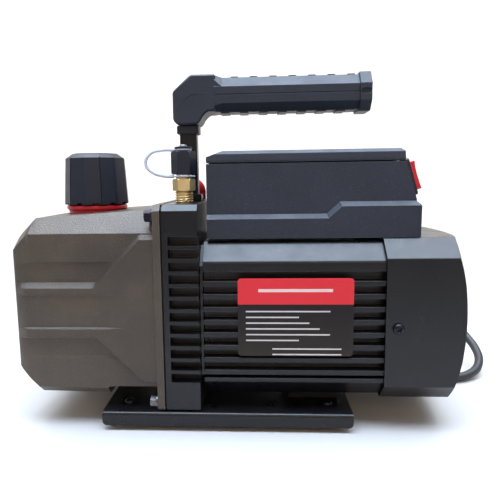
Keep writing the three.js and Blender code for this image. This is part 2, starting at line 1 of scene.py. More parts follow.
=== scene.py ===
import math
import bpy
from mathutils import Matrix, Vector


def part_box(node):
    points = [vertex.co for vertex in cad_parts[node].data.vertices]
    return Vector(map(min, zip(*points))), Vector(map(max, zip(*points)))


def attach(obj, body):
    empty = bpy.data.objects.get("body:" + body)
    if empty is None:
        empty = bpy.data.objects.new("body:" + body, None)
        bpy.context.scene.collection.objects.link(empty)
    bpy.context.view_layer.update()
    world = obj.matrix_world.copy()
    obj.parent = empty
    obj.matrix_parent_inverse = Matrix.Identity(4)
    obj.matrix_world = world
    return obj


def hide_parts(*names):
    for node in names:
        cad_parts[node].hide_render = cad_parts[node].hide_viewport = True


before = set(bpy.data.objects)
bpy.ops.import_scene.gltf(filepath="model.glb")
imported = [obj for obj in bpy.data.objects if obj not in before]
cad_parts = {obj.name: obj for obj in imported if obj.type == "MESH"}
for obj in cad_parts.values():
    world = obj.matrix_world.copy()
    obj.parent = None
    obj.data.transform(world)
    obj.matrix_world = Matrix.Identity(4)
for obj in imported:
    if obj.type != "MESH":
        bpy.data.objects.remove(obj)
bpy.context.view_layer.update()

from types import SimpleNamespace

import bmesh
import bpy
from mathutils import Matrix, Vector

# A portable rotary-vane vacuum pump around its fixed frame. Sizes are in millimetres: the oil tank is
# at -X, the fan cover at +X, and the front, with its plate, faces -Y.
MM = 0.001
HOUSING = "housing"
scene = bpy.context.scene
scene.view_settings.view_transform = "Standard"


# ---- Mesh helpers ----
def span(node):
    """A frame node's box in millimetres."""
    low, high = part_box(node)
    x0, y0, z0, x1, y1, z1 = [value / MM for value in (*low, *high)]
    return SimpleNamespace(x0=x0, y0=y0, z0=z0, x1=x1, y1=y1, z1=z1,
                           cx=(x0 + x1) / 2, cy=(y0 + y1) / 2, cz=(z0 + z1) / 2)


def linked(name, data):
    piece = bpy.data.objects.new(name, data)
    scene.collection.objects.link(piece)
    return piece


def build(name, points, faces):
    mesh = bpy.data.meshes.new(name)
    mesh.from_pydata([Vector(point) * MM for point in points], [], faces)
    work = bmesh.new()
    work.from_mesh(mesh)
    bmesh.ops.remove_doubles(work, verts=work.verts, dist=0.002 * MM)
    bmesh.ops.recalc_face_normals(work, faces=work.faces)
    work.to_mesh(mesh)
    work.free()
    return linked(name, mesh)


def loft(name, rings, closed=False, capped="both"):
    """A skin over rings with the same number of points, capped at its ends unless it closes on itself."""
    count = len(rings[0])
    points = [point for ring in rings for point in ring]
    caps = [tuple(range(count)), tuple(range(len(points) - count, len(points)))]
    faces = [] if closed else caps[:1] if capped == "first" else caps
    for i in range(len(rings) if closed else len(rings) - 1):
        for j in range(count):
            here, after = i * count, ((i + 1) % len(rings)) * count
            k = (j + 1) % count
            faces.append((here + j, here + k, after + k, after + j))
    return build(name, points, faces)


def placed(axis, across, up, along):
    """A point of a section that runs along an axis."""
    return {"x": (along, across, up), "y": (across, along, up), "z": (across, up, along)}[axis]


def prism(name, outline, axis, low, high):
    return loft(name, [[placed(axis, u, v, w) for u, v in outline] for w in (low, high)])


def circle(radius, segments):
    steps = [2 * math.pi * i / segments for i in range(segments)]
    return [(radius * math.cos(a), radius * math.sin(a)) for a in steps]


def turned(name, profile, axis="z", centre=(0, 0, 0), segments=48):
    """A (radius, height) profile turned about an axis through centre; it may close on itself."""
    closed = profile[0] == profile[-1]
    rings = []
    for radius, height in profile[:-1] if closed else profile:
        ring = [placed(axis, u, v, height) for u, v in circle(radius, segments)]
        rings.append([[a + b for a, b in zip(point, centre)] for point in ring])
    return loft(name, rings, closed)


def peg(name, radius, low, high, axis="z", centre=(0, 0, 0), segments=48):
    """A plain cylinder from low to high along its axis."""
    return turned(name, [(0, low), (radius, low), (radius, high), (0, high)], axis, centre, segments)


def rectangle(x0, x1, y0, y1):
    return [(x0, y0), (x1, y0), (x1, y1), (x0, y1)]


def box(name, x0, x1, y0, y1, z0, z1):
    return prism(name, rectangle(x0, x1, y0, y1), "z", z0, z1)


def rounded(points, radius, steps=4):
    """A closed outline with its corners rounded; radius is one number or one for each corner."""
    radii = radius if isinstance(radius, list) else [radius] * len(points)
    result = []
    for i, size in enumerate(radii):
        here = Vector(points[i])
        back = Vector(points[i - 1]) - here
        ahead = Vector(points[(i + 1) % len(points)]) - here
        if size == 0 or back.length < 1e-6 or ahead.length < 1e-6:
            result += [tuple(here)] * (1 if size == 0 else steps + 1)
            continue
        half = max(back.angle(ahead) / 2, 0.05)
        reach = min(size / math.tan(half), 0.45 * back.length, 0.45 * ahead.length)
        start = here + back.normalized() * reach
        end = here + ahead.normalized() * reach
        for step in range(steps + 1):
            t = step / steps
            result.append(tuple(start * (1 - t) ** 2 + here * 2 * t * (1 - t) + end * t * t))
    return result


def mirrored(half):
    """A (y, z) outline that is the same on both sides of y = 0."""
    return half + [(-y, z) for y, z in reversed(half)]


def moved(piece, matrix):
    piece.data.transform(matrix)
    return piece


def shifted(piece, x, y, z):
    return moved(piece, Matrix.Translation(Vector((x, y, z)) * MM))


def turned_about(piece, degrees, axis, centre=(0, 0, 0)):
    to = Matrix.Translation(Vector(centre) * MM)
    return moved(piece, to @ Matrix.Rotation(math.radians(degrees), 4, axis) @ to.inverted())


def apply_modifiers(piece):
    bpy.context.view_layer.update()
    graph = bpy.context.evaluated_depsgraph_get()
    mesh = bpy.data.meshes.new_from_object(piece.evaluated_get(graph))
    piece.modifiers.clear()
    piece.data = mesh
    return piece


def combine(piece, tools, operation="DIFFERENCE"):
    for tool in tools:
        modifier = piece.modifiers.new("combine", "BOOLEAN")
        modifier.operation = operation
        modifier.solver = "EXACT"
        modifier.object = tool
    apply_modifiers(piece)
    for tool in tools:
        bpy.data.objects.remove(tool)
    return piece


def gathered(name, parts):
    """Parts that don't touch each other, as one piece."""
    work = bmesh.new()
    for part in parts:
        work.from_mesh(part.data)
        bpy.data.objects.remove(part)
    mesh = bpy.data.meshes.new(name)
    work.to_mesh(mesh)
    work.free()
    return linked(name, mesh)


def tube(name, points, radius, roundness, steps):
    """A round bar along a smooth curve through the points, as a curve object."""
    data = bpy.data.curves.new(name, "CURVE")
    data.dimensions = "3D"
    data.bevel_depth = radius * MM
    data.bevel_resolution = roundness
    data.resolution_u = steps
    data.use_fill_caps = True
    spline = data.splines.new("BEZIER")
    spline.bezier_points.add(len(points) - 1)
    for knot, point in zip(spline.bezier_points, points):
        knot.co = Vector(point) * MM
        knot.handle_left_type = knot.handle_right_type = "AUTO"
    return linked(name, data)


def add_bevel(piece, width, segments, angle):
    modifier = piece.modifiers.new("bevel", "BEVEL")
    modifier.width = width * MM
    modifier.segments = segments
    modifier.limit_method = "ANGLE"
    modifier.angle_limit = math.radians(angle)


def bevelled(piece, width, segments=2, angle=32):
    add_bevel(piece, width, segments, angle)
    return apply_modifiers(piece)


def smoothed(piece, sharp=38):
    work = bmesh.new()
    work.from_mesh(piece.data)
    bmesh.ops.dissolve_degenerate(work, dist=1e-7, edges=work.edges)
    for face in work.faces:
        face.smooth = True
    for edge in work.edges:
        edge.smooth = not edge.is_manifold or edge.calc_face_angle() < math.radians(sharp)
    work.to_mesh(piece.data)
    work.free()
    piece.modifiers.new("normals", "WEIGHTED_NORMAL").keep_sharp = True
    return piece


def finish(piece, name, look, body=HOUSING, nodes=(), bevel=0.4, segments=2, angle=32, sharp=38):
    """Softens the edges, gives the look, and seats the piece on its body."""
    if bevel:
        bevelled(piece, bevel, segments, angle)
    smoothed(piece, sharp)
    piece.name = name
    material, slot = look
    piece.data.materials.clear()
    piece.data.materials.append(material)
    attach(piece, body)
    if nodes:
        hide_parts(*nodes)
    return piece


# ---- Materials ----
def srgb(*levels):
    """A screen colour, 0 to 255, as the linear colour that shaders take."""
    return [((c / 255 + 0.055) / 1.055) ** 2.4 if c > 10 else c / 255 / 12.92 for c in levels] + [1]


WEAR = SimpleNamespace(radius=0.7, patches=90)


class Nodes:
    """A material, with short ways to add and link its shader nodes."""

    def __init__(self, name):
        self.material = bpy.data.materials.new(name)
        self.material.use_nodes = True
        self.tree = self.material.node_tree
        self.shader = self.tree.nodes["Principled BSDF"]
        self.coordinates = self.tree.nodes.new("ShaderNodeTexCoord").outputs["Object"]

    def add(self, kind, inputs=None, **settings):
        node = self.tree.nodes.new(kind)
        for key, value in settings.items():
            setattr(node, key, value)
        for key, value in (inputs or {}).items():
            if isinstance(value, bpy.types.NodeSocket):
                self.tree.links.new(value, node.inputs[key])
            else:
                node.inputs[key].default_value = value
        return node

    def noise(self, scale, detail=3.0, roughness=0.55, stretch=(1, 1, 1)):
        mapping = self.add("ShaderNodeMapping", {"Vector": self.coordinates, "Scale": stretch})
        node = self.add("ShaderNodeTexNoise", {"Vector": mapping.outputs["Vector"], "Scale": scale,
                                               "Detail": detail, "Roughness": roughness})
        return node.outputs["Fac"]

    def ranged(self, value, low, high, to_low=0.0, to_high=1.0):
        node = self.add("ShaderNodeMapRange", {"Value": value, "From Min": low, "From Max": high,
                                               "To Min": to_low, "To Max": to_high})
        return node.outputs["Result"]

    def mixed(self, factor, first, second):
        """A colour mix; its sockets go by number, because the node has one set for each kind of value."""
        node = self.add("ShaderNodeMix", {0: factor, 6: first, 7: second}, data_type="RGBA")
        return node.outputs[2]

    def math(self, operation, first, second=0.0):
        return self.add("ShaderNodeMath", {0: first, 1: second}, operation=operation).outputs[0]

    def edges(self, amount):
        """Patchy rubbed edges, found where a rounded normal turns away from the true one."""
        soft = self.add("ShaderNodeBevel", {"Radius": WEAR.radius * MM}, samples=4)
        true = self.add("ShaderNodeNewGeometry")
        turn = self.add("ShaderNodeVectorMath", {0: soft.outputs[0], 1: true.outputs["True Normal"]},
                        operation="DOT_PRODUCT")
        edge = self.ranged(turn.outputs["Value"], 0.97, 0.8)
        patches = self.ranged(self.noise(WEAR.patches, 4.0), 0.46, 0.62, 0.1, amount)
        return self.math("MULTIPLY", edge, patches)

    def link(self, value, socket):
        self.tree.links.new(value, self.shader.inputs[socket])

    def bump(self, height, strength, distance):
        node = self.add("ShaderNodeBump", {"Height": height, "Strength": strength, "Distance": distance * MM})
        self.link(node.outputs["Normal"], "Normal")


def surface(name, base, second, rough, metallic=0.0, grain=(900, 0.2, 0.15), mottle=35, speck=0.0,
            specular=0.5, stretch=(1, 1, 1), worn=0.0):
    """A finish with clouded colour, uneven gloss, a fine grain and, where set, pale specks and worn edges."""
    n = Nodes(name)
    cloud = n.ranged(n.noise(mottle, 4.0), 0.32, 0.68)
    color = n.mixed(cloud, base, second)
    fine = n.noise(grain[0], 2.0, 0.6, stretch)
    if speck:
        dots = n.ranged(n.noise(1700, 1.0, 0.5), 0.66, 0.8, 0.0, speck)
        color = n.mixed(dots, color, [min(1, 4 * c + 0.03) for c in base[:3]] + [1])
    if worn:
        color = n.mixed(n.edges(worn), color, [min(1, 3 * c + 0.06) for c in base[:3]] + [1])
    n.link(color, "Base Color")
    smudge = n.noise(mottle * 2.3, 5.0, 0.65)
    n.link(n.ranged(smudge, 0.3, 0.7, rough - 0.06, rough + 0.07), "Roughness")
    n.shader.inputs["Metallic"].default_value = metallic
    n.shader.inputs["Specular IOR Level"].default_value = specular
    n.bump(fine, grain[1], grain[2])
    return n


def coating(name, slot, base, second, *settings, shader=(), **options):
    """A surface, with any further values for the shader's own sockets, and the record's slot for it."""
    n = surface(name, srgb(*base), srgb(*second), *settings, **options)
    for socket, value in shader:
        n.shader.inputs[socket].default_value = value
    return n.material, slot


def ribbed(name, slot, base, second, rough, ridges):
    """A metal with fine parallel ridges, such as wound wire or stacked laminations."""
    n = surface(name, srgb(*base), srgb(*second), rough, 0.9, (900, 0.1, 0.1), 80)
    wave = n.add("ShaderNodeTexWave", {"Vector": n.coordinates, "Scale": ridges, "Distortion": 0.6},
                 bands_direction="X")
    n.bump(wave.outputs["Fac"], 0.6, 0.4)
    return n.material, slot


LABEL = SimpleNamespace(split=0.33, lines=6, first=0.42, pitch=0.075, thick=0.018)


def plate_film(plate):
    """A two-tone film: a red head over a dark field with blank ruled bars in place of any lettering."""
    n = surface("plate_film", srgb(40, 28, 30), srgb(48, 40, 38), 0.42, 0.0, (900, 0.04, 0.05), 18,
                specular=0.3)
    split = n.add("ShaderNodeSeparateXYZ", {"Vector": n.coordinates})
    across = n.ranged(split.outputs["X"], plate.x0 * MM, plate.x1 * MM)
    down = n.ranged(split.outputs["Z"], plate.z1 * MM, plate.z0 * MM)
    red_head = n.math("LESS_THAN", down, LABEL.split)
    dark = n.mixed(n.ranged(down, LABEL.split, 1.0), srgb(18, 9, 12), srgb(38, 30, 25))
    bars = None
    for row in range(LABEL.lines + 3):
        extra = 0.05 if row >= LABEL.lines else 0.0
        middle = LABEL.first + extra + row * LABEL.pitch * (1.0 if row < LABEL.lines else 0.97)
        near = n.math("LESS_THAN", n.math("ABSOLUTE", n.math("SUBTRACT", down, middle)), LABEL.thick / 2)
        left, right = (0.07, 0.8 - 0.09 * ((row * 3) % 4)) if row < LABEL.lines else (0.3, 0.9)
        inside = n.math("MULTIPLY", n.math("GREATER_THAN", across, left), n.math("LESS_THAN", across, right))
        bar = n.math("MULTIPLY", near, inside)
        bars = bar if bars is None else n.math("MAXIMUM", bars, bar)
    head_low, head_high = 0.4 * LABEL.split, 0.52 * LABEL.split
    head = n.math("MULTIPLY", n.math("GREATER_THAN", down, head_low), n.math("LESS_THAN", down, head_high))
    head_side = n.math("MULTIPLY", n.math("GREATER_THAN", across, 0.18), n.math("LESS_THAN", across, 0.82))
    bars = n.math("MAXIMUM", bars, n.math("MULTIPLY", head, head_side))
    color = n.mixed(red_head, dark, srgb(206, 44, 52))
    n.link(n.mixed(n.math("MULTIPLY", bars, 0.75), color, srgb(222, 216, 212)), "Base Color")
    return n.material, "plate_film"


# Each row: name, slot, two colours, roughness, metallic, grain (scale, strength, depth), mottle, specks.
LOOK = SimpleNamespace(
    cast=coating("cast_paint", "cast_grey", (80, 70, 59), (62, 55, 48), 0.44, 0.22, (1000, 0.9, 0.4), 22, 0.4,
                 worn=0.4),
    paint=coating("black_satin_paint", "black_paint", (17, 16, 18), (12, 12, 15), 0.31, 0.0,
                  (1200, 0.1, 0.12), 30, 0.05, specular=0.4, worn=0.3),
    slate=coating("slate_plastic", "dark_plastic", (38, 43, 53), (32, 37, 47), 0.46, 0.0, (1000, 0.6, 0.3),
                  26, 0.5, specular=0.4, worn=0.25),
    black=coating("black_plastic", "black_plastic", (26, 31, 42), (21, 25, 35), 0.42, 0.0, (1500, 0.12, 0.15),
                  45, 0.04, specular=0.4),
    red=coating("red_plastic", "red_plastic", (206, 34, 46), (188, 26, 38), 0.34, 0.0, (700, 0.06, 0.1), 60,
                shader=(("Subsurface Weight", 0.08), ("Subsurface Scale", 0.002))),
    brass=coating("blasted_brass", "brass", (246, 222, 166), (230, 200, 136), 0.36, 0.6, (1500, 0.5, 0.25),
                  120),
    turned_brass=coating("turned_brass", "brass", (246, 222, 166), (230, 200, 136), 0.2, 0.6, (800, 0.1, 0.1),
                         120),
    zinc=coating("zinc_plating", "zinc", (176, 178, 184), (150, 152, 158), 0.32, 1.0, (600, 0.15, 0.1), 150),
    dull_zinc=coating("dull_zinc_plating", "zinc", (112, 110, 110), (78, 76, 76), 0.32, 1.0, (600, 0.15, 0.1),
                      150),
    black_zinc=coating("black_zinc_plating", "black_zinc", (52, 52, 60), (40, 38, 44), 0.32, 0.85,
                       (700, 0.2, 0.1), 160),
    rubber=coating("rubber", "rubber", (24, 24, 25), (32, 32, 33), 0.72, 0.0, (500, 0.3, 0.2), 80,
                   specular=0.3),
    cord=coating("cord_jacket", "cord_jacket", (34, 34, 37), (28, 28, 31), 0.46, 0.0, (260, 0.15, 0.25), 40),
    milky=coating("milky_plastic", "clear_plastic", (214, 218, 230), (198, 203, 218), 0.35, 0.0,
                  (300, 0.05, 0.1), 90, shader=(("Transmission Weight", 0.35),)),
    glass=coating("window_glass", "oil_glass", (240, 240, 236), (232, 232, 226), 0.1, 0.0, (200, 0.02, 0.1),
                  60, shader=(("Transmission Weight", 0.95),)),
    oil=coating("amber_oil", "oil_glass", (196, 140, 48), (176, 118, 36), 0.18, 0.0, (60, 0.04, 0.2), 50),
    bare=coating("bare_cast_iron", "bare_cast", (112, 110, 106), (92, 90, 88), 0.5, 0.8, (700, 0.3, 0.25),
                 60),
    steel=coating("ground_steel", "steel", (150, 152, 156), (132, 134, 138), 0.28, 1.0, (500, 0.15, 0.1), 90,
                  stretch=(0.05, 1, 1)),
    aluminium=coating("drawn_aluminium", "aluminium", (196, 198, 202), (180, 182, 186), 0.35, 1.0,
                      (400, 0.1, 0.1), 70, stretch=(0.05, 1, 1)),
    carbon=coating("vane_carbon", "vane_carbon", (34, 33, 32), (26, 26, 26), 0.55, 0.1, (900, 0.2, 0.1), 120),
    copper=ribbed("wound_copper", "copper", (184, 100, 48), (150, 74, 34), 0.34, 260),
    laminations=ribbed("stacked_laminations", "steel", (110, 110, 112), (90, 90, 94), 0.42, 320),
    film=plate_film(span("rating_plate")))


# ---- Camera, floor and light ----
VIEW = SimpleNamespace(place=(11.66, -378, 167.1), yaw=-3.35, pitch=7.7, roll=0.83, lens=36,
                       shift=(0.0491, -0.0022))


def make_camera():
    yaw, pitch, roll = [math.radians(angle) for angle in (VIEW.yaw, VIEW.pitch, VIEW.roll)]
    level = Vector((math.sin(yaw), math.cos(yaw), 0))
    right = Vector((math.cos(yaw), -math.sin(yaw), 0))
    down = Vector((0, 0, -1))
    ahead = level * math.cos(pitch) + down * math.sin(pitch)
    below = down * math.cos(pitch) - level * math.sin(pitch)
    across = right * math.cos(roll) + below * math.sin(roll)
    under = below * math.cos(roll) - right * math.sin(roll)
    camera = linked("camera", bpy.data.cameras.new("camera"))
    camera.data.lens = VIEW.lens
    camera.data.sensor_width = 36
    camera.data.shift_x, camera.data.shift_y = VIEW.shift
    camera.data.clip_start = 0.01
    turn = Matrix((across, -under, -ahead)).transposed().to_4x4()
    camera.matrix_world = Matrix.Translation(Vector(VIEW.place) * MM) @ turn
    scene.camera = camera


STUDIO = SimpleNamespace(flat=1500, curve=700, wall=2400)


def make_floor():
    """A round floor that curves up into a wall on every side."""
    profile = [(STUDIO.flat, 0)]
    for i in range(1, 11):
        angle = math.radians(9 * i)
        profile.append((STUDIO.flat + STUDIO.curve * math.sin(angle), STUDIO.curve * (1 - math.cos(angle))))
    profile.append((STUDIO.flat + STUDIO.curve, STUDIO.wall))
    rings = [[(u, v, z) for u, v in circle(radius, 96)] for radius, z in profile]
    floor = loft("floor", rings, capped="first")
    for face in floor.data.polygons:
        face.use_smooth = True
    n = surface("pale_floor", srgb(188, 185, 181), srgb(184, 181, 177), 0.8, 0.0, (60, 0.02, 0.1), 3)
    floor.data.materials.append(n.material)


def area_light(name, place, aim, size, power, color, spread=180):
    light = bpy.data.lights.new(name, "AREA")
    light.shape = "RECTANGLE"
    light.size, light.size_y = size
    light.energy = power
    light.color = color
    light.spread = math.radians(spread)
    lamp = linked(name, light)
    lamp.location = place
    lamp.rotation_euler = (Vector(aim) - Vector(place)).to_track_quat("-Z", "Y").to_euler()
    lamp.visible_camera = False


def make_world():
    """A dim studio: dark at the sides, paler and cooler overhead."""
    world = bpy.data.worlds.new("studio")
    scene.world = world
    world.use_nodes = True
    tree = world.node_tree
    direction = tree.nodes.new("ShaderNodeTexCoord")
    split = tree.nodes.new("ShaderNodeSeparateXYZ")
    ramp_node = tree.nodes.new("ShaderNodeValToRGB")
    tree.links.new(direction.outputs["Generated"], split.inputs["Vector"])
    tree.links.new(split.outputs["Z"], ramp_node.inputs["Fac"])
    for stop, position, color in zip(ramp_node.color_ramp.elements, (0.1, 0.8),
                                     ((0.09, 0.09, 0.1, 1), (0.5, 0.6, 0.8, 1))):
        stop.position, stop.color = position, color
    tree.links.new(ramp_node.outputs["Color"], tree.nodes["Background"].inputs["Color"])
    tree.nodes["Background"].inputs["Strength"].default_value = 1.0


def make_lights():
    cool, warm, white = (0.68, 0.81, 1.0), (1.0, 0.72, 0.46), (1.0, 1.0, 1.0)
    area_light("top_softbox", (-0.05, -0.13, 0.66), (-0.05, -0.1, 0.1), (1.5, 0.46), 7.8, cool, 90)
    area_light("warm_key", (0.15, -1.1, 0.7), (0, -0.3, 0), (1.0, 0.4), 1.6, warm)
    area_light("warm_floor_light", (0.1, -0.72, 0.34), (0.1, -0.68, 0), (1.3, 0.26), 1.0, (1.0, 0.6, 0.34))
    area_light("backdrop_light", (0, 0.7, 1.5), (0, 2.2, 0.3), (2.4, 0.8), 72, white)
    for side in (-1, 1):
        area_light("side_wall_light", (side * 0.9, 0.3, 1.8), (side * 2.2, 0, 0.6), (1.0, 0.5), 14, white)
    make_world()


# ---- Mains cord ----
CORD = SimpleNamespace(diameter=7.0, layer=6.9, first=4.3, overlap=75, lead=30)
COIL = SimpleNamespace(x=-25, y=112, outer=41, inner=34)
PLUG = SimpleNamespace(heading=165, z=18.5, lead=36)
ROUTE = [
    (106, 76, 141), (106.2, 90, 140.8), (108.5, 105.7, 135.9), (113.9, 118.3, 124.9), (123, 124.4, 109.3),
    (134.9, 124.5, 92.5), (148.7, 120, 76.5), (163.1, 111.7, 62.5), (177.3, 101, 50), (190.8, 89.1, 37.9),
    (202.1, 75.4, 25.9), (206.1, 56.9, 15.7), (201.3, 42.4, 9.3), (191.4, 32.4, 5.6), (177.1, 26.8, 4),
    (159.2, 27.9, 3.6), (141.6, 34.1, 3.6), (124.9, 44.4, 3.6), (107.5, 55.8, 3.6), (88, 64.7, 3.6),
    (66.7, 69.6, 3.6), (44.4, 71.1, 3.6), (22, 71, 3.6), (0.5, 71, 3.8), (-14, 71, 4.1)]


def eased(t):
    t = min(max(t, 0.0), 1.0)
    return t * t * (3 - 2 * t)


def coil_points():
    """Four turns, two side by side in each of two layers, and a last part turn on a third to lead out.

    Each turn moves over or up a little before the last one did.
    """
    moves = []
    for i, (radius, layer) in enumerate([(COIL.inner, 0), (COIL.inner, 1), (COIL.outer, 1), (COIL.outer, 2)]):
        end = 360 + i * (360 - CORD.lead)
        moves.append((end - CORD.overlap, end, radius, layer))
    last = 4 * 360 + 180 - PLUG.heading
    points = []
    for step in range(int(last / 15) + 1):
        turn = last * step / int(last / 15)
        radius, layer = COIL.outer, 0
        for start, end, next_radius, next_layer in moves:
            share = eased((turn - start) / (end - start))
            radius += (next_radius - radius) * share
            layer += (next_layer - layer) * share
        angle = math.radians(-90 - turn)
        points.append((COIL.x + radius * math.cos(angle), COIL.y + radius * math.sin(angle),
                       CORD.first + CORD.layer * layer))
    return points


def lead_frame():
    """The place where the lead leaves the coil, turned so that its X runs to the plug."""
    angle = math.radians(PLUG.heading)
    place = Vector((COIL.x - COIL.outer * math.sin(angle), COIL.y + COIL.outer * math.cos(angle), PLUG.z))
    return Matrix.Translation(place * MM) @ Matrix.Rotation(angle, 4, "Z")


def lead_length():
    half = CORD.diameter / 2
    clear_of_coil = math.sqrt((COIL.outer + 2 * half + 0.3) ** 2 - COIL.outer ** 2)
    return clear_of_coil + PLUG.lead


def make_cord():
    coil = coil_points()
    frame_of_lead = lead_frame()
    reach = lead_length()
    lead = [frame_of_lead @ (Vector((reach * share, 0, 0)) * MM) / MM for share in (0.35, 0.7, 1.02)]
    flex = tube("power_cord_flex", ROUTE + coil + lead, CORD.diameter / 2, 5, 6)
    flex.data.materials.append(LOOK.cord[0])
    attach(flex, HOUSING)
    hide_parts("power_cord", "cord_coil", "power_cord_lead_out")
    return flex


def make_gland():
    s = span("cord_gland")
    start = s.y0 + 5
    ribs = 6
    profile = [(0, s.y0), (6, s.y0), (6, start), (9, start), (9, start + 2.2), (8.2, start + 3),
               (6.8, start + 3.4)]
    length = s.y1 - start - 5
    for i in range(ribs):
        base = 6.4 - 1.8 * i / ribs
        at = start + 4.4 + length * i / ribs
        profile += [(base + 0.1, at), (base + 0.1, at + 0.55 * length / ribs),
                    (base - 0.9, at + 0.6 * length / ribs), (base - 0.9, at + 0.95 * length / ribs)]
    profile += [(4.6, s.y1 - 0.6), (4.2, s.y1), (0, s.y1)]
    gland = turned("gland", profile, "y", (s.cx, 0, s.cz), 40)
    return finish(gland, "strain_relief", LOOK.rubber, nodes=["cord_gland"], bevel=0.15)


def squarish(value, size):
    """A unit circle's coordinate, pushed a little towards a square's, at a size."""
    return math.copysign(abs(value) ** 0.86, value) * size


def make_plug():
    body = []
    for x, wide, high in ((0, 4.6, 4.6), (8, 5.0, 5.0), (9, 4.4, 4.4), (12, 5.4, 5.4), (13, 4.8, 4.8),
                          (16, 5.8, 5.8), (17, 5.2, 5.2), (22, 6.4, 6.2), (27, 10, 8.2), (33, 14.5, 10.5),
                          (40, 17, 12.5), (48, 18.2, 15), (54, 18.3, 18), (58.5, 18.3, 18.3),
                          (60, 17.4, 17.4)):
        body.append([(x, squarish(u, wide), squarish(v, high)) for u, v in circle(1, 48)])
    shell = loft("plug_shell", body)
    grips = []
    for i in range(5):
        for side in (-1, 1):
            x = 36 + 3.2 * i
            grips.append(box("grip", x, x + 1.3, side * 20, side * (14.6 + 0.55 * i), -6, 6))
    shell = combine(shell, [gathered("grips", grips)])
    pins = [turned("pin", [(0, 58), (1.9, 58), (1.9, 69), (2.4, 69.3), (2.4, 77.6), (1.6, 79), (0, 79)], "x",
                   (0, side * 9.5, 0), 24) for side in (-1, 1)]
    place = lead_frame() @ Matrix.Translation(Vector((lead_length(), 0, 0)) * MM)
    shell = finish(moved(shell, place), "plug_body", LOOK.black, nodes=["mains_plug"], bevel=0.25)
    pins = finish(moved(gathered("pins", pins), place), "plug_pins", LOOK.zinc, bevel=0)
    return [shell, pins]


def make_coil_tie():
    """A narrow strap around the bundle of turns."""
    middle = (COIL.outer + COIL.inner) / 2
    half = (COIL.outer - COIL.inner) / 2 + CORD.diameter / 2 + 0.1
    low, high = 0.25, CORD.first + 2 * CORD.layer + CORD.diameter / 2 + 0.1
    thick = 0.55
    outer = rounded(rectangle(-half - thick, half + thick, low, high + thick), 3.4, 6)
    inner = rounded(rectangle(-half, half, low + thick, high), 3.0, 6)
    width = 5.5
    rings = [[(u, side * width, v) for u, v in outline] for outline, side in
             ((outer, -1), (outer, 1), (inner, 1), (inner, -1))]
    tie = loft("tie", rings, closed=True)
    turned_about(shifted(tie, middle, 0, 0), 62, "Z")
    return finish(shifted(tie, COIL.x, COIL.y, 0), "coil_tie", LOOK.rubber, bevel=0.12)


def make_all_cord():
    flex = make_cord()
    pieces = [make_gland(), make_coil_tie(), *make_plug()]


# ---- Screws and bolts ----
def cross_head(name, radius, height, shank):
    """A pan head with a cross recess, its seat at z = 0 and its head up."""
    head = turned(name, [(0, -shank), (0.55 * radius, -shank), (0.55 * radius, 0), (radius, 0),
                         (radius, 0.3 * height), (0.93 * radius, 0.62 * height),
                         (0.72 * radius, 0.9 * height), (0.4 * radius, height),
                         (0, height)], "z", segments=40)
    arm, half = 0.58 * radius, 0.13 * radius
    low, high = 0.35 * height, 1.2 * height
    bars = [loft("bar", [[(x * a, y * b, z) for a, b in ((-1, -1), (1, -1), (1, 1), (-1, 1))]
                         for z, x, y in ((low, long * 0.45, wide * 0.6), (high, long, wide))])
            for long, wide in ((arm, half), (half, arm))]
    return combine(head, bars)


def hex_head(name, radius, height, washer):
    """A hexagon head on a flat washer, seated at z = 0."""
    hexagon = prism(name, circle(radius, 6), "z", washer, height)
    cone = turned("cone", [(0, washer), (radius * 1.05, washer), (radius * 1.05, height - 0.16 * radius),
                           (radius * 0.86, height + 0.02), (0, height + 0.02)])
    hexagon = combine(hexagon, [cone], "INTERSECT")
    return combine(hexagon, [peg("washer", radius * 1.18, 0, washer + 0.05)], "UNION")


def make_fasteners():
    for row in ("front", "back"):
        for side in ("left", "right"):
            node = f"foot_screw_{row}_{side}"
            s = span(node)
            screw = cross_head(node, 3.5, 2.1, 2)
            turned_about(screw, 28, "Z")
            shifted(screw, s.cx, s.cy, s.z1 - 2.1)
            finish(screw, f"base_screw_{row}_{side}", LOOK.black_zinc, nodes=[node], bevel=0.08)
        for level, look in (("low", LOOK.dull_zinc), ("high", LOOK.black_zinc)):
            node = f"tank_bolt_{level}_{row}"
            s = span(node)
            bolt = hex_head(node, (s.y1 - s.y0) / 2, s.x1 - s.x0, 1.1)
            moved(bolt, Matrix.Rotation(-math.pi / 2, 4, "Y"))
            shifted(bolt, s.x1, s.cy, s.cz)
            finish(bolt, f"flange_bolt_{level}_{row}", look, nodes=[node], bevel=0.2)
        node = f"cover_screw_{row}"
        s = span(node)
        away = -1 if row == "front" else 1
        screw = cross_head(node, 3.7, 2.4, 1)
        turned_about(screw, 35, "Z")
        moved(screw, Matrix.Rotation(-away * math.pi / 2, 4, "X"))
        shifted(screw, s.cx, s.y1 if row == "front" else s.y0, s.cz)
        finish(screw, f"fan_cover_screw_{row}", LOOK.black_zinc, nodes=[node], bevel=0.08)


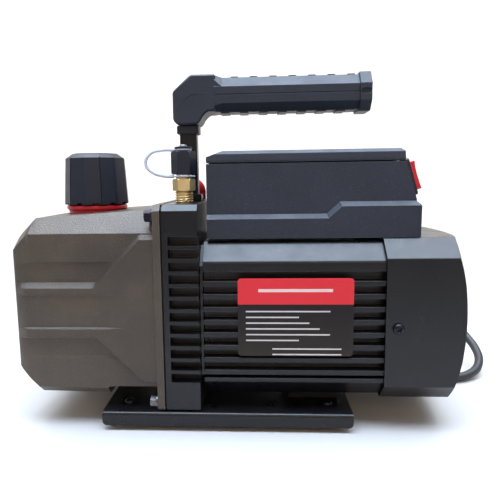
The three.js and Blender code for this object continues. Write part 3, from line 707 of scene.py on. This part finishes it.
# ---- Base ----
def make_base():
    s = span("base_plate")
    sheet, low, high, w = 2.5, s.z0, s.z1, s.y1
    channel = [(-w, low), (-w, high), (w, high), (w, low), (w - sheet, low), (w - sheet, high - sheet),
               (-w + sheet, high - sheet), (-w + sheet, low)]
    plate = prism("base", rounded(channel, [0, 3.2, 3.2, 0, 0, 1, 1, 0], 6), "x", s.x0, s.x1)
    corners = rounded([(s.x0, low), (s.x0, high + 1), (s.x1, high + 1), (s.x1, low)], [3.5, 0, 0, 3.5], 6)
    plate = combine(plate, [prism("corners", corners, "y", -w - 1, w + 1)], "INTERSECT")
    vents = []
    for x in (-12, 22):
        for y in (-18, 18):
            slot = rounded(rectangle(x - 12, x + 12, y - 3, y + 3), 2.9, 5)
            vents.append(prism("vent", slot, "z", high - 4, high + 1))
    plate = combine(plate, [gathered("vents", vents)])
    finish(plate, "base_channel", LOOK.paint, nodes=["base_plate"], bevel=0.5)
    for row in ("front", "back"):
        for side in ("left", "right"):
            node = f"foot_{row}_{side}"
            f = span(node)
            foot = turned(node, [(0, 1.6), (3.2, 1.6), (3.6, 0.05), (7.9, 0.05), (8.8, 0.9), (9, 2),
                                 (9, f.z1 - 2), (8.4, f.z1 - 1.4), (8.4, f.z1),
                                 (0, f.z1)], centre=(f.cx, f.cy, 0))
            finish(foot, f"rubber_foot_{row}_{side}", LOOK.rubber, nodes=[node], bevel=0.25)


# ---- Oil tank ----
TANK = SimpleNamespace(front=55, bottom=22.6, top=144, rise=5.2, fall=1.6, bevel_foot=134, corner=14,
                       low_edge=6, wall=4.5, round_long=9, round_deep=3, proud=2.6, recess=1.7,
                       facet_fall=0.73)
PANEL = SimpleNamespace(top=101.1, top_right=133.2, low=63.1, low_right=31.6, start=-95.5, end=-63.9)
AXIS_Z = 74.4


def ramp(x, x0, x1, y0, y1):
    return y0 + (y1 - y0) * min(max((x - x0) / (x1 - x0), 0.0), 1.0)


def tank_section(x, left, right, inset=0.0):
    """The casting's closed (y, z) outline at x, with the funnel panel and ribs on both sides."""
    run = x - left
    corner = TANK.corner - inset / 2
    low = TANK.bottom + inset + max(0, corner - run) - ramp(run, corner, right - left, 0, TANK.fall)
    high = min(TANK.top - inset + ramp(run, corner, right - left, 0, TANK.rise),
               TANK.top - inset - corner + run)
    drop = TANK.top - TANK.bevel_foot
    turn = 1 - min(run / TANK.round_long, 1)
    side = TANK.front - inset / 2 - TANK.round_deep * (1 - math.sqrt(max(0, 1 - turn * turn)))
    bevel_foot = TANK.bevel_foot - inset
    start = min(bevel_foot, TANK.top - inset - corner + run - TANK.facet_fall * drop)
    knee = (side + start - high, high)
    turn_in = (corner - run) / (1 - TANK.facet_fall)
    if 0 < turn_in < drop:
        middle = (side - drop + turn_in, TANK.top - inset - turn_in)
        knee = (side - drop, high)
    elif run < corner:
        middle = (side - drop / 2, (start + high) / 2)
        knee = (side - drop, high)
    else:
        middle = (side - (high - start) / 2, (start + high) / 2)
    half = [(side - TANK.low_edge, low), (side, low + TANK.low_edge)]
    if inset == 0:
        fade = eased((run - 1) / 9)
        top = ramp(x, PANEL.start, PANEL.end, PANEL.top, PANEL.top_right)
        under = ramp(x, PANEL.start, PANEL.end, PANEL.low, PANEL.low_right)
        proud = TANK.proud * fade
        recess = TANK.recess * fade * eased((114 - top) / 6)
        foot = 1.3 * fade * eased((under - 50) / 7)
        fine = fade * eased((-66 - x) / 34)
        rows = [(min(48.6, under - 4), foot), (min(51.0, under - 1.5), 0.0), (under, 0.0),
                (under + 0.7, proud), (max(69.6, under + 2), proud),
                (max(70.8, under + 3), proud - 1.6 * fine), (92.6, proud - 1.6 * fine), (93.9, proud),
                (top - 3.4, proud), (top, -recess), (min(max(113.6, top + 0.4), 133.5), -recess),
                (min(max(115.2, top + 0.7), 133.7), 0.0)]
        half[1] = (side + foot, low + TANK.low_edge)
        half += [(side + offset, min(z, start)) for z, offset in rows]
    half += [(side, start), middle, knee]
    return rounded(mirrored(half), 1.0, 3)


def tank_loft(name, left, right, inset=0.0):
    facet_end = TANK.corner - (1 - TANK.facet_fall) * (TANK.top - TANK.bevel_foot)
    stations = {left, right, left + facet_end, left + TANK.corner, PANEL.start, PANEL.end, -60}
    stations |= {left + TANK.round_long * (1 - math.cos(math.radians(15 * i))) for i in range(7)}
    x = left + TANK.round_long
    while x < right:
        stations.add(x)
        x += 3.5
    stations = sorted(x for x in stations if left <= x <= right)
    return loft(name, [[(x, y, z) for y, z in tank_section(x, left, right, inset)] for x in stations])


def make_tank():
    s = span("oil_tank")
    exhaust, glass, drain = span("exhaust_ring"), span("sight_glass"), span("drain_plug")
    flange_left = s.x1 - 4.8
    tank = tank_loft("tank", s.x0, flange_left + 1)
    w, low, high = s.y1, s.z0, s.z1
    flange = [(-w, low), (-w, high - 4), (-w + 4, high), (w - 4, high), (w, high - 4), (w, low)]
    plate = prism("flange", rounded(flange, [2.5, 1, 1, 1, 1, 2.5]), "x", flange_left, s.x1)
    bosses = []
    for side in (-1, 1):
        bosses.append(turned("boss", [(0, flange_left - 3.2), (4.4, flange_left - 3.2), (5, flange_left + 1),
                                      (0, flange_left + 1)], "x", (0, side * 49.5, 138), 32))
    tank = combine(tank, [plate, gathered("bosses", bosses)], "UNION")
    relief = prism("relief", rounded([(-89, 0), (-89, 28.8), (flange_left, 28.8), (flange_left, 0)],
                                     [0, 1.5, 0, 0]), "y", -70, 70)
    hollow = tank_loft("hollow", s.x0 + TANK.wall, s.x1 + 1, TANK.wall)
    seat = peg("seat", 23, 144.5, 165, centre=(exhaust.cx, 0, 0), segments=64)
    mouth = peg("mouth", 14.3, 120, 160, centre=(exhaust.cx, 0, 0))
    tools = [relief, hollow, seat, mouth]
    for node, wide, hole in ((glass, 14.8, 10.5), (drain, 7, 4.3)):
        centre = (0, 0, node.cz)
        tools.append(peg("recess", wide, s.x0 - 5, s.x0 + 3, "x", centre, 56))
        tools.append(peg("hole", hole, s.x0 - 5, s.x0 + 9, "x", centre))
    tank = combine(tank, tools)
    finish(tank, "tank_casting", LOOK.cast, nodes=["oil_tank"], bevel=0.35, angle=40)


def make_window():
    glass, ring, drain = span("sight_glass"), span("sight_glass_ring"), span("drain_plug")
    centre = (0, 0, glass.cz)
    x0 = ring.x0
    pane = turned("pane", [(0, x0 + 0.7), (6, x0 + 0.85), (10, x0 + 1.3), (11.6, x0 + 1.7),
                           (11.6, glass.x0 + 2), (10, glass.x0 + 2.2), (10, glass.x1),
                           (0, glass.x1)], "x", centre, 64)
    finish(pane, "oil_window", LOOK.glass, nodes=["sight_glass"], bevel=0)
    rim = turned("rim", [(11.9, x0 + 0.6), (12.6, x0), (14, x0), (14.5, x0 + 0.6), (14.5, ring.x1),
                         (11.9, ring.x1), (11.9, x0 + 0.6)], "x", centre, 64)
    finish(rim, "oil_window_rim", LOOK.black, nodes=["sight_glass_ring"], bevel=0.2)
    level = peg("oil", 9.8, glass.x1 + 0.2, glass.x1 + 1, "x", centre)
    upper = box("upper", glass.x1 - 2, glass.x1 + 4, -12, 12, glass.cz + 1.5, glass.cz + 14)
    finish(combine(level, [upper]), "oil_behind_window", LOOK.oil, bevel=0)
    marks = [box("mark", x0 + 0.62, x0 + 0.95, -4.5, 4.5, glass.cz + z - 0.25, glass.cz + z + 0.25)
             for z in (-4, 4)]
    finish(gathered("marks", marks), "oil_level_marks", LOOK.milky, bevel=0)
    head = prism("drain", circle(6, 6), "x", drain.x0, drain.x0 + 2.7)
    head = combine(head, [turned("cone", [(0, drain.x0 - 1), (5.2, drain.x0 - 0.01), (6.2, drain.x0 + 0.7),
                                          (6.2, drain.x0 + 4), (0, drain.x0 + 4)], "x")], "INTERSECT")
    stem = peg("stem", 4, drain.x0 + 2.2, drain.x1, "x")
    socket = prism("socket", circle(2.4, 6), "x", drain.x0 - 1, drain.x0 + 1.8)
    plug = combine(combine(head, [stem], "UNION"), [socket])
    shifted(plug, 0, 0, drain.cz)
    finish(plug, "drain_plug_hex", LOOK.turned_brass, "oil_drain_plug", ["drain_plug"], bevel=0.15)


# ---- Pump body ----
SLOT = SimpleNamespace(count=12, first=126.2, pitch=8.39, height=5.8, depth=8, frame=3.9)


def make_pump_body():
    s = span("pump_body")
    w, low, high, bevel = s.y1, s.z0, s.z1, 4
    section = [(-w, low), (-w, high - bevel), (-w + bevel, high), (w - bevel, high), (w, high - bevel),
               (w, low)]
    block = prism("block", rounded(section, [2, 0.8, 0.8, 0.8, 0.8, 2]), "x", s.x0, s.x1)
    left = s.x0 + SLOT.frame
    slots = []
    for i in range(SLOT.count):
        bottom = SLOT.first - i * SLOT.pitch
        outline = rounded(rectangle(left, s.x1 + 1, bottom, bottom + SLOT.height), [0.7, 0, 0, 0.7])
        slots.append(prism("slot", outline, "y", -w - 1, -w + SLOT.depth))
        slots.append(prism("slot", outline, "y", w - SLOT.depth, w + 1))
    intake, port = span("intake_fitting"), span("port_cap")
    holes = [peg("hole", radius, high - 8, high + 1, centre=(node.cx, node.cy, 0))
             for node, radius in ((intake, 6.9), (port, 6.3))]
    holes.append(peg("hole", 9, s.x0 - 1, s.x1 + 1, "x", (0, 0, AXIS_Z)))
    block = combine(block, [gathered("slots", slots), gathered("holes", holes)])
    finish(block, "finned_pump_block", LOOK.paint, nodes=["pump_body"], bevel=0.45, angle=40)


# ---- Motor and plate ----
FIN = SimpleNamespace(count=8, first=102.3, pitch=8.6, thickness=3.4, depth=7, low_band=36.5, high_band=108.4)


def make_motor():
    s = span("motor_housing")
    w, bevel = s.y1, 12.5
    root = w - FIN.depth
    half = [(w - bevel, s.z0), (w, s.z0 + bevel), (w, FIN.low_band), (root, FIN.low_band)]
    radii = [1.5, 2.5, 0.6, 1.0]
    for i in reversed(range(FIN.count)):
        top = FIN.first - i * FIN.pitch
        low = top - FIN.thickness
        step = low - 1.4
        half += [(root, step), (root + 2.2, step), (root + 2.2, low), (w, low), (w, top), (root, top)]
        radii += [0.5, 0.3, 0.3, 0.5, 0.6, 0.8]
    half += [(root, FIN.high_band), (w, FIN.high_band), (w, s.z1 - bevel), (w - bevel, s.z1)]
    radii += [0.8, 0.6, 3.5, 1.2]
    outline = rounded(mirrored(half), radii + radii[::-1], 3)
    housing = prism("motor", outline, "x", s.x0, s.x1)
    hollow = peg("hollow", 48.5, s.x0 - 1, s.x1 + 1, "x", (0, 0, AXIS_Z), 72)
    finish(combine(housing, [hollow]), "finned_motor_housing", LOOK.paint, nodes=["motor_housing"], bevel=0.3,
           angle=50)


def make_plate():
    s = span("rating_plate")
    plate = prism("plate", rounded(rectangle(s.x0, s.x1, s.z0, s.z1), 2.6, 6), "y", s.y0, s.y1)
    finish(plate, "two_tone_plate", LOOK.film, nodes=["rating_plate"], bevel=0.15)


# ---- Fan and its cover ----
def cover_section(w, low, high, bevel, soft):
    half = [(w - bevel, low), (w, low + bevel), (w, high - bevel), (w - bevel, high)]
    return rounded(mirrored(half), soft, 4)


def dome_profile(reach, start):
    return [(0, start), (90, start), (90, reach - 24), (78, reach - 13.4), (74, reach - 10.6),
            (70, reach - 8.2), (65, reach - 5.9), (60, reach - 4.2), (55, reach - 2.8), (50, reach - 1.6),
            (45, reach - 0.7), (40, reach - 0.1), (34, reach), (0, reach)]


def cover_solid(name, s, inset, bevel, soft, left, reach):
    """The box with bevelled edges, cut by the dome, that makes the outside or the hollow of the cover."""
    solid = prism(name, cover_section(s.y1 - inset, s.z0 + inset, s.z1 - inset, bevel, soft), "x", left,
                  s.x1 + 9)
    dome = turned("dome", dome_profile(reach, s.x0 - 10), "x", (0, 0, AXIS_Z), 96)
    return combine(solid, [dome], "INTERSECT")


def make_fan_cover():
    s = span("fan_cover")
    wall = 1.2
    outside = cover_solid("cover", s, 0, 12, 1.6, s.x0, s.x1)
    inside = cover_solid("inside", s, wall, 11.3, 1.2, s.x0 - 1, s.x1 - wall - 0.4)
    slots = []
    for row in range(-3, 4):
        reach = math.sqrt(40 ** 2 - (row * 10) ** 2)
        z = AXIS_Z + row * 10
        for y0, y1 in ((-reach, -1.6), (1.6, reach)):
            outline = rounded(rectangle(y0, y1, z - 2.7, z + 2.7), 2.6, 5)
            slots.append(prism("slot", outline, "x", s.x1 - 20, s.x1 + 5))
    cover = combine(outside, [inside, gathered("slots", slots)])
    finish(cover, "fan_cover_shell", LOOK.paint, nodes=["fan_cover"], bevel=0.35, angle=40)


def make_fan():
    s = span("cooling_fan")
    fan = turned("hub", [(8.3, s.x0), (15, s.x0), (15, s.x1 - 1), (14, s.x1), (8.3, s.x1), (8.3, s.x0)], "x",
                 (0, 0, AXIS_Z), 48)
    count, steps = 7, 6
    side = [(s.x0 + 0.5, 0.7), (s.cx, 1.0), (s.x1 - 0.5, 0.7)]
    section = side + [(x, -thick) for x, thick in reversed(side)]
    blades = []
    for i in range(count):
        rings = []
        for step in range(steps + 1):
            radius = 14 + (s.y1 - 14.3) * step / steps
            lean = math.radians(2 + 16 * (step / steps) ** 1.5)
            ring = []
            for x, thick in section:
                a = lean + 0.03 * (x - s.cx) / 8
                ring.append((x, radius * math.sin(a) + thick * math.cos(a),
                             radius * math.cos(a) - thick * math.sin(a) + AXIS_Z))
            rings.append(ring)
        blades.append(turned_about(loft("blade", rings), 360 * i / count, "X", (0, 0, AXIS_Z)))
    fan = combine(fan, [gathered("blades", blades)], "UNION")
    finish(fan, "fan_wheel", LOOK.slate, "rotating_group", ["cooling_fan"], bevel=0.2)


# ---- Control box ----
SKIRT = SimpleNamespace(left=142.1, right=149.9, step=60.4, step_end=69.0, bevel=3.0)


def skirt_ring(s, y, rise):
    top_left, top_right = SKIRT.left + rise, SKIRT.right + rise
    outline = [(s.x0, s.z0), (s.x1, s.z0), (s.x1, top_right), (SKIRT.step_end - rise / 3, top_right),
               (SKIRT.step - rise / 3, top_left), (s.x0, top_left)]
    return [(x, y, z) for x, z in outline]


def make_control_box():
    s = span("control_box")
    lid = span("box_lid")
    gland = span("cord_gland")
    seam = s.z1
    w, skirt = lid.y1, s.y1
    walls = [(s.x0, s.z0), (s.x1 - 2.6, s.z0), (s.x1 - 2.6, 153.9), (110, seam), (s.x0, seam)]
    body = prism("walls", walls, "y", -w, w)
    band = loft("skirt", [skirt_ring(s, y, rise) for y, rise in
                          ((-skirt, 0), (-w, SKIRT.bevel), (w, SKIRT.bevel), (skirt, 0))])
    trim = box("trim", s.x1 - 3.1, s.x1 + 3, -60, 60, 0, 6)
    turned_about(trim, 45, "Y", (s.x1 - 3.1, 0, 0))
    shifted(trim, 0, 0, SKIRT.right + SKIRT.bevel + 0.3)
    band = combine(band, [trim])
    body = combine(body, [band], "UNION")
    inside = prism("inside", [(s.x0 + 3, s.z0 + 3), (s.x1 - 6, s.z0 + 3), (s.x1 - 6, 153), (106.5, seam + 1),
                              (s.x0 + 3, seam + 1)], "y", -w + 3, w - 3)
    gland_hole = peg("gland_hole", 6.3, 30, 60, "y", (gland.cx, 0, gland.cz))
    hole = switch_frame_piece(box("switch_hole", -14, 2, -7, 7, -10.6, 10.6))
    body = combine(body, [inside, gland_hole, hole])
    finish(body, "control_box_body", LOOK.slate, nodes=["control_box"], bevel=0.4, angle=25)

    low, high = lid.z0 + 0.45, lid.z1
    side = [(lid.x0, low), (109.9, low), (109.4, high - 1.6), (107, high), (lid.x0 + 11, high),
            (lid.x0, high - 4)]
    end = mirrored([(w - 0.6, low), (w - 0.6, low + 0.9), (w, low + 1.2), (w - 0.4, high - 2.2),
                    (w - 2.6, high + 0.1)])
    cover = prism("lid", side, "y", -w, w)
    cover = combine(cover, [prism("lid_end", end, "x", lid.x0 - 1, lid.x1 + 1)], "INTERSECT")
    finish(cover, "control_box_lid", LOOK.slate, nodes=["box_lid"], bevel=0.35, angle=20)


SWITCH = SimpleNamespace(x=114.4, y=-30, z=168, lean=math.degrees(math.atan2(7.4, 24.6)))


def switch_frame_piece(piece):
    """Moves a piece made around the switch's own centre to the leaning end of the control box."""
    turned_about(piece, -SWITCH.lean, "Y")
    return shifted(piece, SWITCH.x, SWITCH.y, SWITCH.z)


def make_switch():
    outer = rounded(rectangle(-8.5, 8.5, -12.5, 12.5), 2, 5)
    inner = rounded(rectangle(-6.6, 6.6, -10.6, 10.6), 0.8, 5)
    rim = combine(prism("rim", outer, "x", 0.3, 2.6), [prism("opening", inner, "x", -1, 4)])
    finish(switch_frame_piece(rim), "switch_frame", LOOK.black, nodes=["switch_bezel"], bevel=0.3)
    face = [(3.2, -9.5), (6.2, -9.5), (5.9, -5), (5.7, 0), (5.8, 5), (6.4, 9.5), (3.2, 9.5)]
    rocker = prism("rocker", [(-3, -8.2), *face, (-3, 8.2)], "y", -6.2, 6.2)
    finish(switch_frame_piece(rocker), "rocker_button", LOOK.red, "switch_paddle", ["switch_rocker"],
           bevel=0.35, angle=40)


# ---- Handle ----
GRIP = SimpleNamespace(low=216.7, high=240.5, middle=228.0, half=14, elbow_half=13.6, notch=0.45,
                       pads=14, pad_half=7.3)


def grip_outline(grow=0.0):
    """The grip's eight-sided section, with a groove along the middle of each side."""
    wide = GRIP.half + grow
    return mirrored([(8 + grow, GRIP.low - grow), (wide, 222), (wide, GRIP.middle - GRIP.notch),
                     (wide - GRIP.notch, GRIP.middle), (wide, GRIP.middle + GRIP.notch), (wide, 233.4),
                     (8 + grow, GRIP.high + grow)])


def make_grip(x, top, end, foot):
    """The grip with its elbow over the post at x, its pads and its end piece."""
    low, high, middle, side = GRIP.low, GRIP.high, GRIP.middle, GRIP.elbow_half
    elbow = [(x - 7, foot), (x + 8, foot), (x + 10.5, foot + 3), (x + 10.5, 212), (x + 15, low),
             (x + 21, low), (x + 21, top), (x + 3.3, top), (x - 9.7, 230.8), (x - 9.7, foot + 3)]
    corner = bevelled(prism("elbow", elbow, "y", -side, side), 3.4, 1, 40)
    square = mirrored([(10.2, low), (side, low + 3.4), (side, middle - 0.4), (side - 0.4, middle),
                       (side, middle + 0.4), (side, top - 3.4), (10.2, top)])
    rings = [(x + 12, square), (x + 19.5, square), (x + 25.5, grip_outline(0.02))]
    shoulder = loft("shoulder", [[(at, y, z) for y, z in outline] for at, outline in rings])
    grip = prism("grip", grip_outline(), "x", x + 20, end - 6)
    pads = []
    pitch = (end - 10 - (x + 24)) / GRIP.pads
    for i in range(GRIP.pads):
        left, right = x + 24 + i * pitch + 0.2, x + 24 + (i + 1) * pitch - 0.2
        pads.append(box("pad", left, right, -GRIP.pad_half, GRIP.pad_half, low - (0.3 if i % 2 else 1.0),
                        low + 2))
        if i % 2:
            profile = [(left, high - 1), (left + 0.7, high + 0.8), (right - 0.7, high + 0.8),
                       (right, high - 1)]
            pads.append(prism("pad", profile, "y", -GRIP.pad_half, GRIP.pad_half))
    grip = combine(grip, [gathered("pads", pads)], "UNION")
    pommel = bevelled(prism("pommel", grip_outline(1.6), "x", end - 8, end), 1.2, 2, 40)
    for sign in (-1, 1):
        dimple = turned("dimple", [(0, -2), (1.5, -1.5), (2.6, 0), (1.5, 1.5), (0, 2)], "y", segments=24)
        moved(dimple, Matrix.Diagonal((1.5, 1, 0.9, 1)))
        shifted(dimple, end - 4, sign * (GRIP.half + 1.6), middle)
        pommel = combine(pommel, [dimple])
    handle = combine(combine(grip, [shoulder], "UNION"), [corner, pommel], "UNION")
    for sign in (-1, 1):
        y = sign * side
        level = box("line", x + 3, x + 13, y - 0.35, y + 0.35, middle - 0.35, middle + 0.35)
        slant = box("line", x - 9, x + 3, y - 0.35, y + 0.35, middle - 0.35, middle + 0.35)
        for tool in (level, turned_about(slant, -45, "Y", (x + 3, 0, middle))):
            handle = combine(handle, [tool])
    finish(handle, "carrying_handle", LOOK.slate, nodes=["handle_grip"], bevel=0.35, angle=28)


def make_handle():
    s, post, ring = span("handle_grip"), span("handle_post"), span("handle_collar")
    x = post.x0 + 8.7
    make_grip(x, s.z1, s.x1, post.z1 + 0.3)
    w, d = 6.3, 6
    column = prism("post", rounded(rectangle(x - w, x + w, -d, d), 1.4, 4), "z", post.z0, post.z1)
    shoe = rounded(rectangle(x - w - 2.4, x + w + 2.4, -d - 1, d + 2), 1.2, 4)
    column = combine(column, [prism("shoe", shoe, "z", post.z0, post.z0 + 5)], "UNION")
    finish(column, "handle_column", LOOK.paint, nodes=["handle_post"], bevel=0.5)
    outer = rounded(rectangle(x - 8, x + 8, -8, 8), 1.2, 4)
    inner = rounded(rectangle(x - w - 0.2, x + w + 0.2, -d - 0.2, d + 0.2), 1.2, 4)
    sleeve = combine(prism("collar", outer, "z", ring.z0, ring.z1), [prism("bore", inner, "z", 190, 220)])
    finish(sleeve, "handle_sleeve", LOOK.slate, nodes=["handle_collar"], bevel=0.4)


# ---- Ports ----
def thread(name, radius, depth, pitch, low, high, segments=56):
    """A rod with a raised helical thread, closed at both ends."""
    rows = int((high - low) / pitch * 10)
    rings = []
    for row in range(rows + 1):
        z = low + (high - low) * row / rows
        edge = min(1, (z - low) / (0.4 * pitch), (high - z) / (0.4 * pitch))
        ring = []
        for i in range(segments):
            phase = ((z - low) / pitch - i / segments) % 1
            crest = eased(1 - abs(2 * phase - 1) * 1.25) * edge
            r = radius - depth * (1 - crest)
            angle = 2 * math.pi * i / segments
            ring.append((r * math.cos(angle), r * math.sin(angle), z))
        rings.append(ring)
    return loft(name, rings)


def chamfered_hexagon(name, radius, low, high, turn, trim=0.9):
    corners = [turn + math.pi * i / 3 for i in range(6)]
    hexagon = prism(name, [(radius * math.cos(a), radius * math.sin(a)) for a in corners], "z", low, high)
    cone = turned("cone", [(0, low - 0.01), (radius * 0.92, low - 0.01), (radius * 1.02, low + trim),
                           (radius * 1.02, high - trim), (radius * 0.92, high + 0.01), (0, high + 0.01)],
                  segments=64)
    return combine(hexagon, [cone], "INTERSECT")


INTAKE = SimpleNamespace(thread=6.6, thread_depth=0.75, pitch=1.75, nut=8.1, cap=8.8, turn=0.12)


def make_intake():
    s, cap = span("intake_fitting"), span("intake_cap")
    seat = span("pump_body").z1
    rod = thread("thread", INTAKE.thread, INTAKE.thread_depth, INTAKE.pitch, seat + 0.2, seat + 8.6)
    rod = combine(rod, [peg("stem", 5.8, s.z0, seat + 0.6)], "UNION")
    finish(shifted(rod, s.cx, s.cy, 0), "intake_thread", LOOK.turned_brass, bevel=0)
    nut = chamfered_hexagon("nut", INTAKE.nut, seat + 8.3, seat + 16.6, INTAKE.turn)
    neck = turned("neck", [(0, seat + 16), (5.6, seat + 16), (5.6, seat + 20), (5.1, seat + 21), (5.1, s.z1),
                           (0, s.z1)], segments=56)
    nut = combine(nut, [neck], "UNION")
    finish(shifted(nut, s.cx, s.cy, 0), "intake_hexagon", LOOK.brass, nodes=["intake_fitting"], bevel=0.2)
    shell = chamfered_hexagon("cap", INTAKE.cap, seat + 19.8, seat + 35.8, INTAKE.turn, 1.4)
    button = turned("button", [(0, seat + 35), (3, seat + 35), (3, seat + 37.6), (6, seat + 37.6),
                               (6.2, seat + 38), (6.1, seat + 38.7), (4, seat + 39.2), (0, seat + 39.3)])
    shell = combine(combine(shell, [button], "UNION"), [peg("bore", 5.9, seat + 19, seat + 29)])
    finish(shifted(shell, s.cx, s.cy, 0), "intake_screw_cap_shell", LOOK.black, "intake_screw_cap",
           ["intake_cap"], bevel=0.3)
    rivet = turned("rivet", [(0, seat + 38.8), (2.8, seat + 38.8), (2.7, seat + 39.9), (2.1, cap.z1 - 0.3),
                             (1.2, cap.z1), (0, cap.z1)], segments=32)
    finish(shifted(rivet, s.cx, s.cy, 0), "cap_rivet", LOOK.zinc, "intake_screw_cap", bevel=0)


def make_strap():
    s = span("cap_strap")
    fitting = span("intake_fitting")
    seat = span("pump_body").z1
    low, high = seat + 18.4, seat + 36.8
    eyes = [turned("eye", [(inner, z - 0.6), (outer - 0.3, z - 0.6), (outer, z - 0.3), (outer, z + 0.3),
                           (outer - 0.3, z + 0.6), (inner, z + 0.6), (inner, z - 0.6)])
            for inner, outer, z in ((5.9, 8.2, low), (3.3, 6, high))]
    middle = (low + high) / 2
    thick = 1.15
    reach = fitting.cx - s.x0 - thick
    path = [(-7, low), (-14, low + 0.4), (-23, low + 3.6), (-reach, middle), (-24, high - 2.6), (-16, high),
            (-5, high)]
    loop = tube("loop", [(x, 0, z) for x, z in path], thick, 4, 12)
    bpy.context.view_layer.update()
    mesh = bpy.data.meshes.new_from_object(loop.evaluated_get(bpy.context.evaluated_depsgraph_get()))
    bpy.data.objects.remove(loop)
    strap = gathered("strap", [linked("bent_bar", mesh), *eyes])
    finish(shifted(strap, fitting.cx, fitting.cy, 0), "cap_tether", LOOK.milky, nodes=["cap_strap"], bevel=0)


def make_second_port():
    s = span("port_cap")
    seat = span("pump_body").z1
    r = (s.x1 - s.x0) / 2
    profile = [(0, s.z0), (6, s.z0), (6, seat + 0.3), (r - 0.5, seat + 0.3), (r, seat + 0.8), (r, seat + 7),
               (r - 0.4, seat + 9.4), (r - 1.2, seat + 11.6), (r - 2.6, seat + 13.9), (r - 4.4, seat + 15.6),
               (r - 6.4, seat + 16.5), (0, s.z1)]
    cap = turned("port", profile, segments=64)
    count = 18
    grooves = [turned_about(box("groove", r - 0.35, r + 1, -0.5, 0.5, seat + 1.6, seat + 8), 360 * i / count,
                            "Z")
               for i in range(count)]
    cap = combine(cap, [gathered("grooves", grooves)])
    finish(shifted(cap, s.cx, s.cy, 0), "red_port_cap", LOOK.red, "second_port_cap", ["port_cap"], bevel=0.15)


def make_exhaust():
    ring, cap = span("exhaust_ring"), span("exhaust_cap")
    z = ring.z0 + 6
    profile = [(9, z - 6), (14, z - 6), (14, z), (20.6, z), (21, z + 0.4), (21, z + 2.7), (22, z + 3.1),
               (22.4, z + 3.8), (22.4, z + 5.2), (22, z + 5.9), (21, z + 6.2), (16.5, z + 6.2),
               (16.5, z + 15), (9, z + 15), (9, z - 6)]
    collar = turned("collar", profile, segments=80)
    finish(shifted(collar, ring.cx, 0, 0), "red_exhaust_collar", LOOK.red, nodes=["exhaust_ring"], bevel=0.15)
    low, high = cap.z0, cap.z1
    facets, first = 12, 24.6
    rings = []
    for z, radius, soft in ((low, 23.9, 3.0), (low + 0.5, 24.25, 3.0), (low + 0.6 * (high - low), 22.95, 3.0),
                            (high - 3.5, 22.2, 2.8), (high - 0.5, 17.7, 2.0), (high, 16.8, 1.6)):
        outline = []
        for i in range(facets):
            angle = math.radians(first + 360 * i / facets)
            reach = radius if i % 2 else 0.985 * radius
            outline.append((reach * math.cos(angle), reach * math.sin(angle)))
        rings.append([(u, v, z) for u, v in rounded(outline, soft, 3)])
    dome = loft("dome", rings)
    grooves = []
    for i in range(6):
        groove = loft("groove", [[(radius + u, v, z) for u,
                                  v in ((0, -0.28), (2, -0.45), (2, 0.45), (0, 0.28))]
                                 for radius, z in ((23.1, low - 1), (20.9, high - 2.6))])
        grooves.append(turned_about(groove, first - 90 + 60 * i, "Z"))
    vents = [turned_about(box("vent", 15, 30, -2.2, 2.2, low - 1, low + 1.3), 15 + 30 * i, "Z")
             for i in range(facets)]
    for tool in (peg("cavity", 17.2, low - 1, low + 12, segments=56), gathered("grooves", grooves),
                 gathered("vents", vents)):
        dome = combine(dome, [tool])
    finish(shifted(dome, cap.cx, 0, 0), "exhaust_filter_cap", LOOK.black, "exhaust_filler_cap",
           ["exhaust_cap"], bevel=0.25, angle=40)


# ---- Frame nodes that stay as they are, with a softened edge and a finish ----
def dress_inner_parts():
    inner = ((LOOK.rubber, "tank_gasket motor_foot"), (LOOK.bare, "pump_cylinder pump_end_cover"),
             (LOOK.steel, "discharge_valve pump_rotor front_bearing rear_bearing motor_shaft"),
             (LOOK.carbon, "vane_front vane_rear"), (LOOK.paint, "front_end_bell rear_end_bell"),
             (LOOK.laminations, "stator_core motor_rotor"), (LOOK.copper, "winding_front winding_rear"),
             (LOOK.aluminium, "run_capacitor"))
    for (material, _), nodes in inner:
        for node in nodes.split():
            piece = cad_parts[node]
            piece.data.materials.clear()
            piece.data.materials.append(material)
            piece.modifiers.new("weld", "WELD").merge_threshold = 0.01 * MM
            add_bevel(piece, 0.3, 2, 35)
            piece.modifiers.new("normals", "WEIGHTED_NORMAL").keep_sharp = True


for make in (make_camera, make_all_cord, make_floor, make_lights, make_base, make_fasteners, make_tank,
             make_window, make_pump_body, make_motor, make_plate, make_fan_cover, make_fan, make_control_box,
             make_switch, make_handle, make_intake, make_strap, make_second_port, make_exhaust,
             dress_inner_parts):
    make()
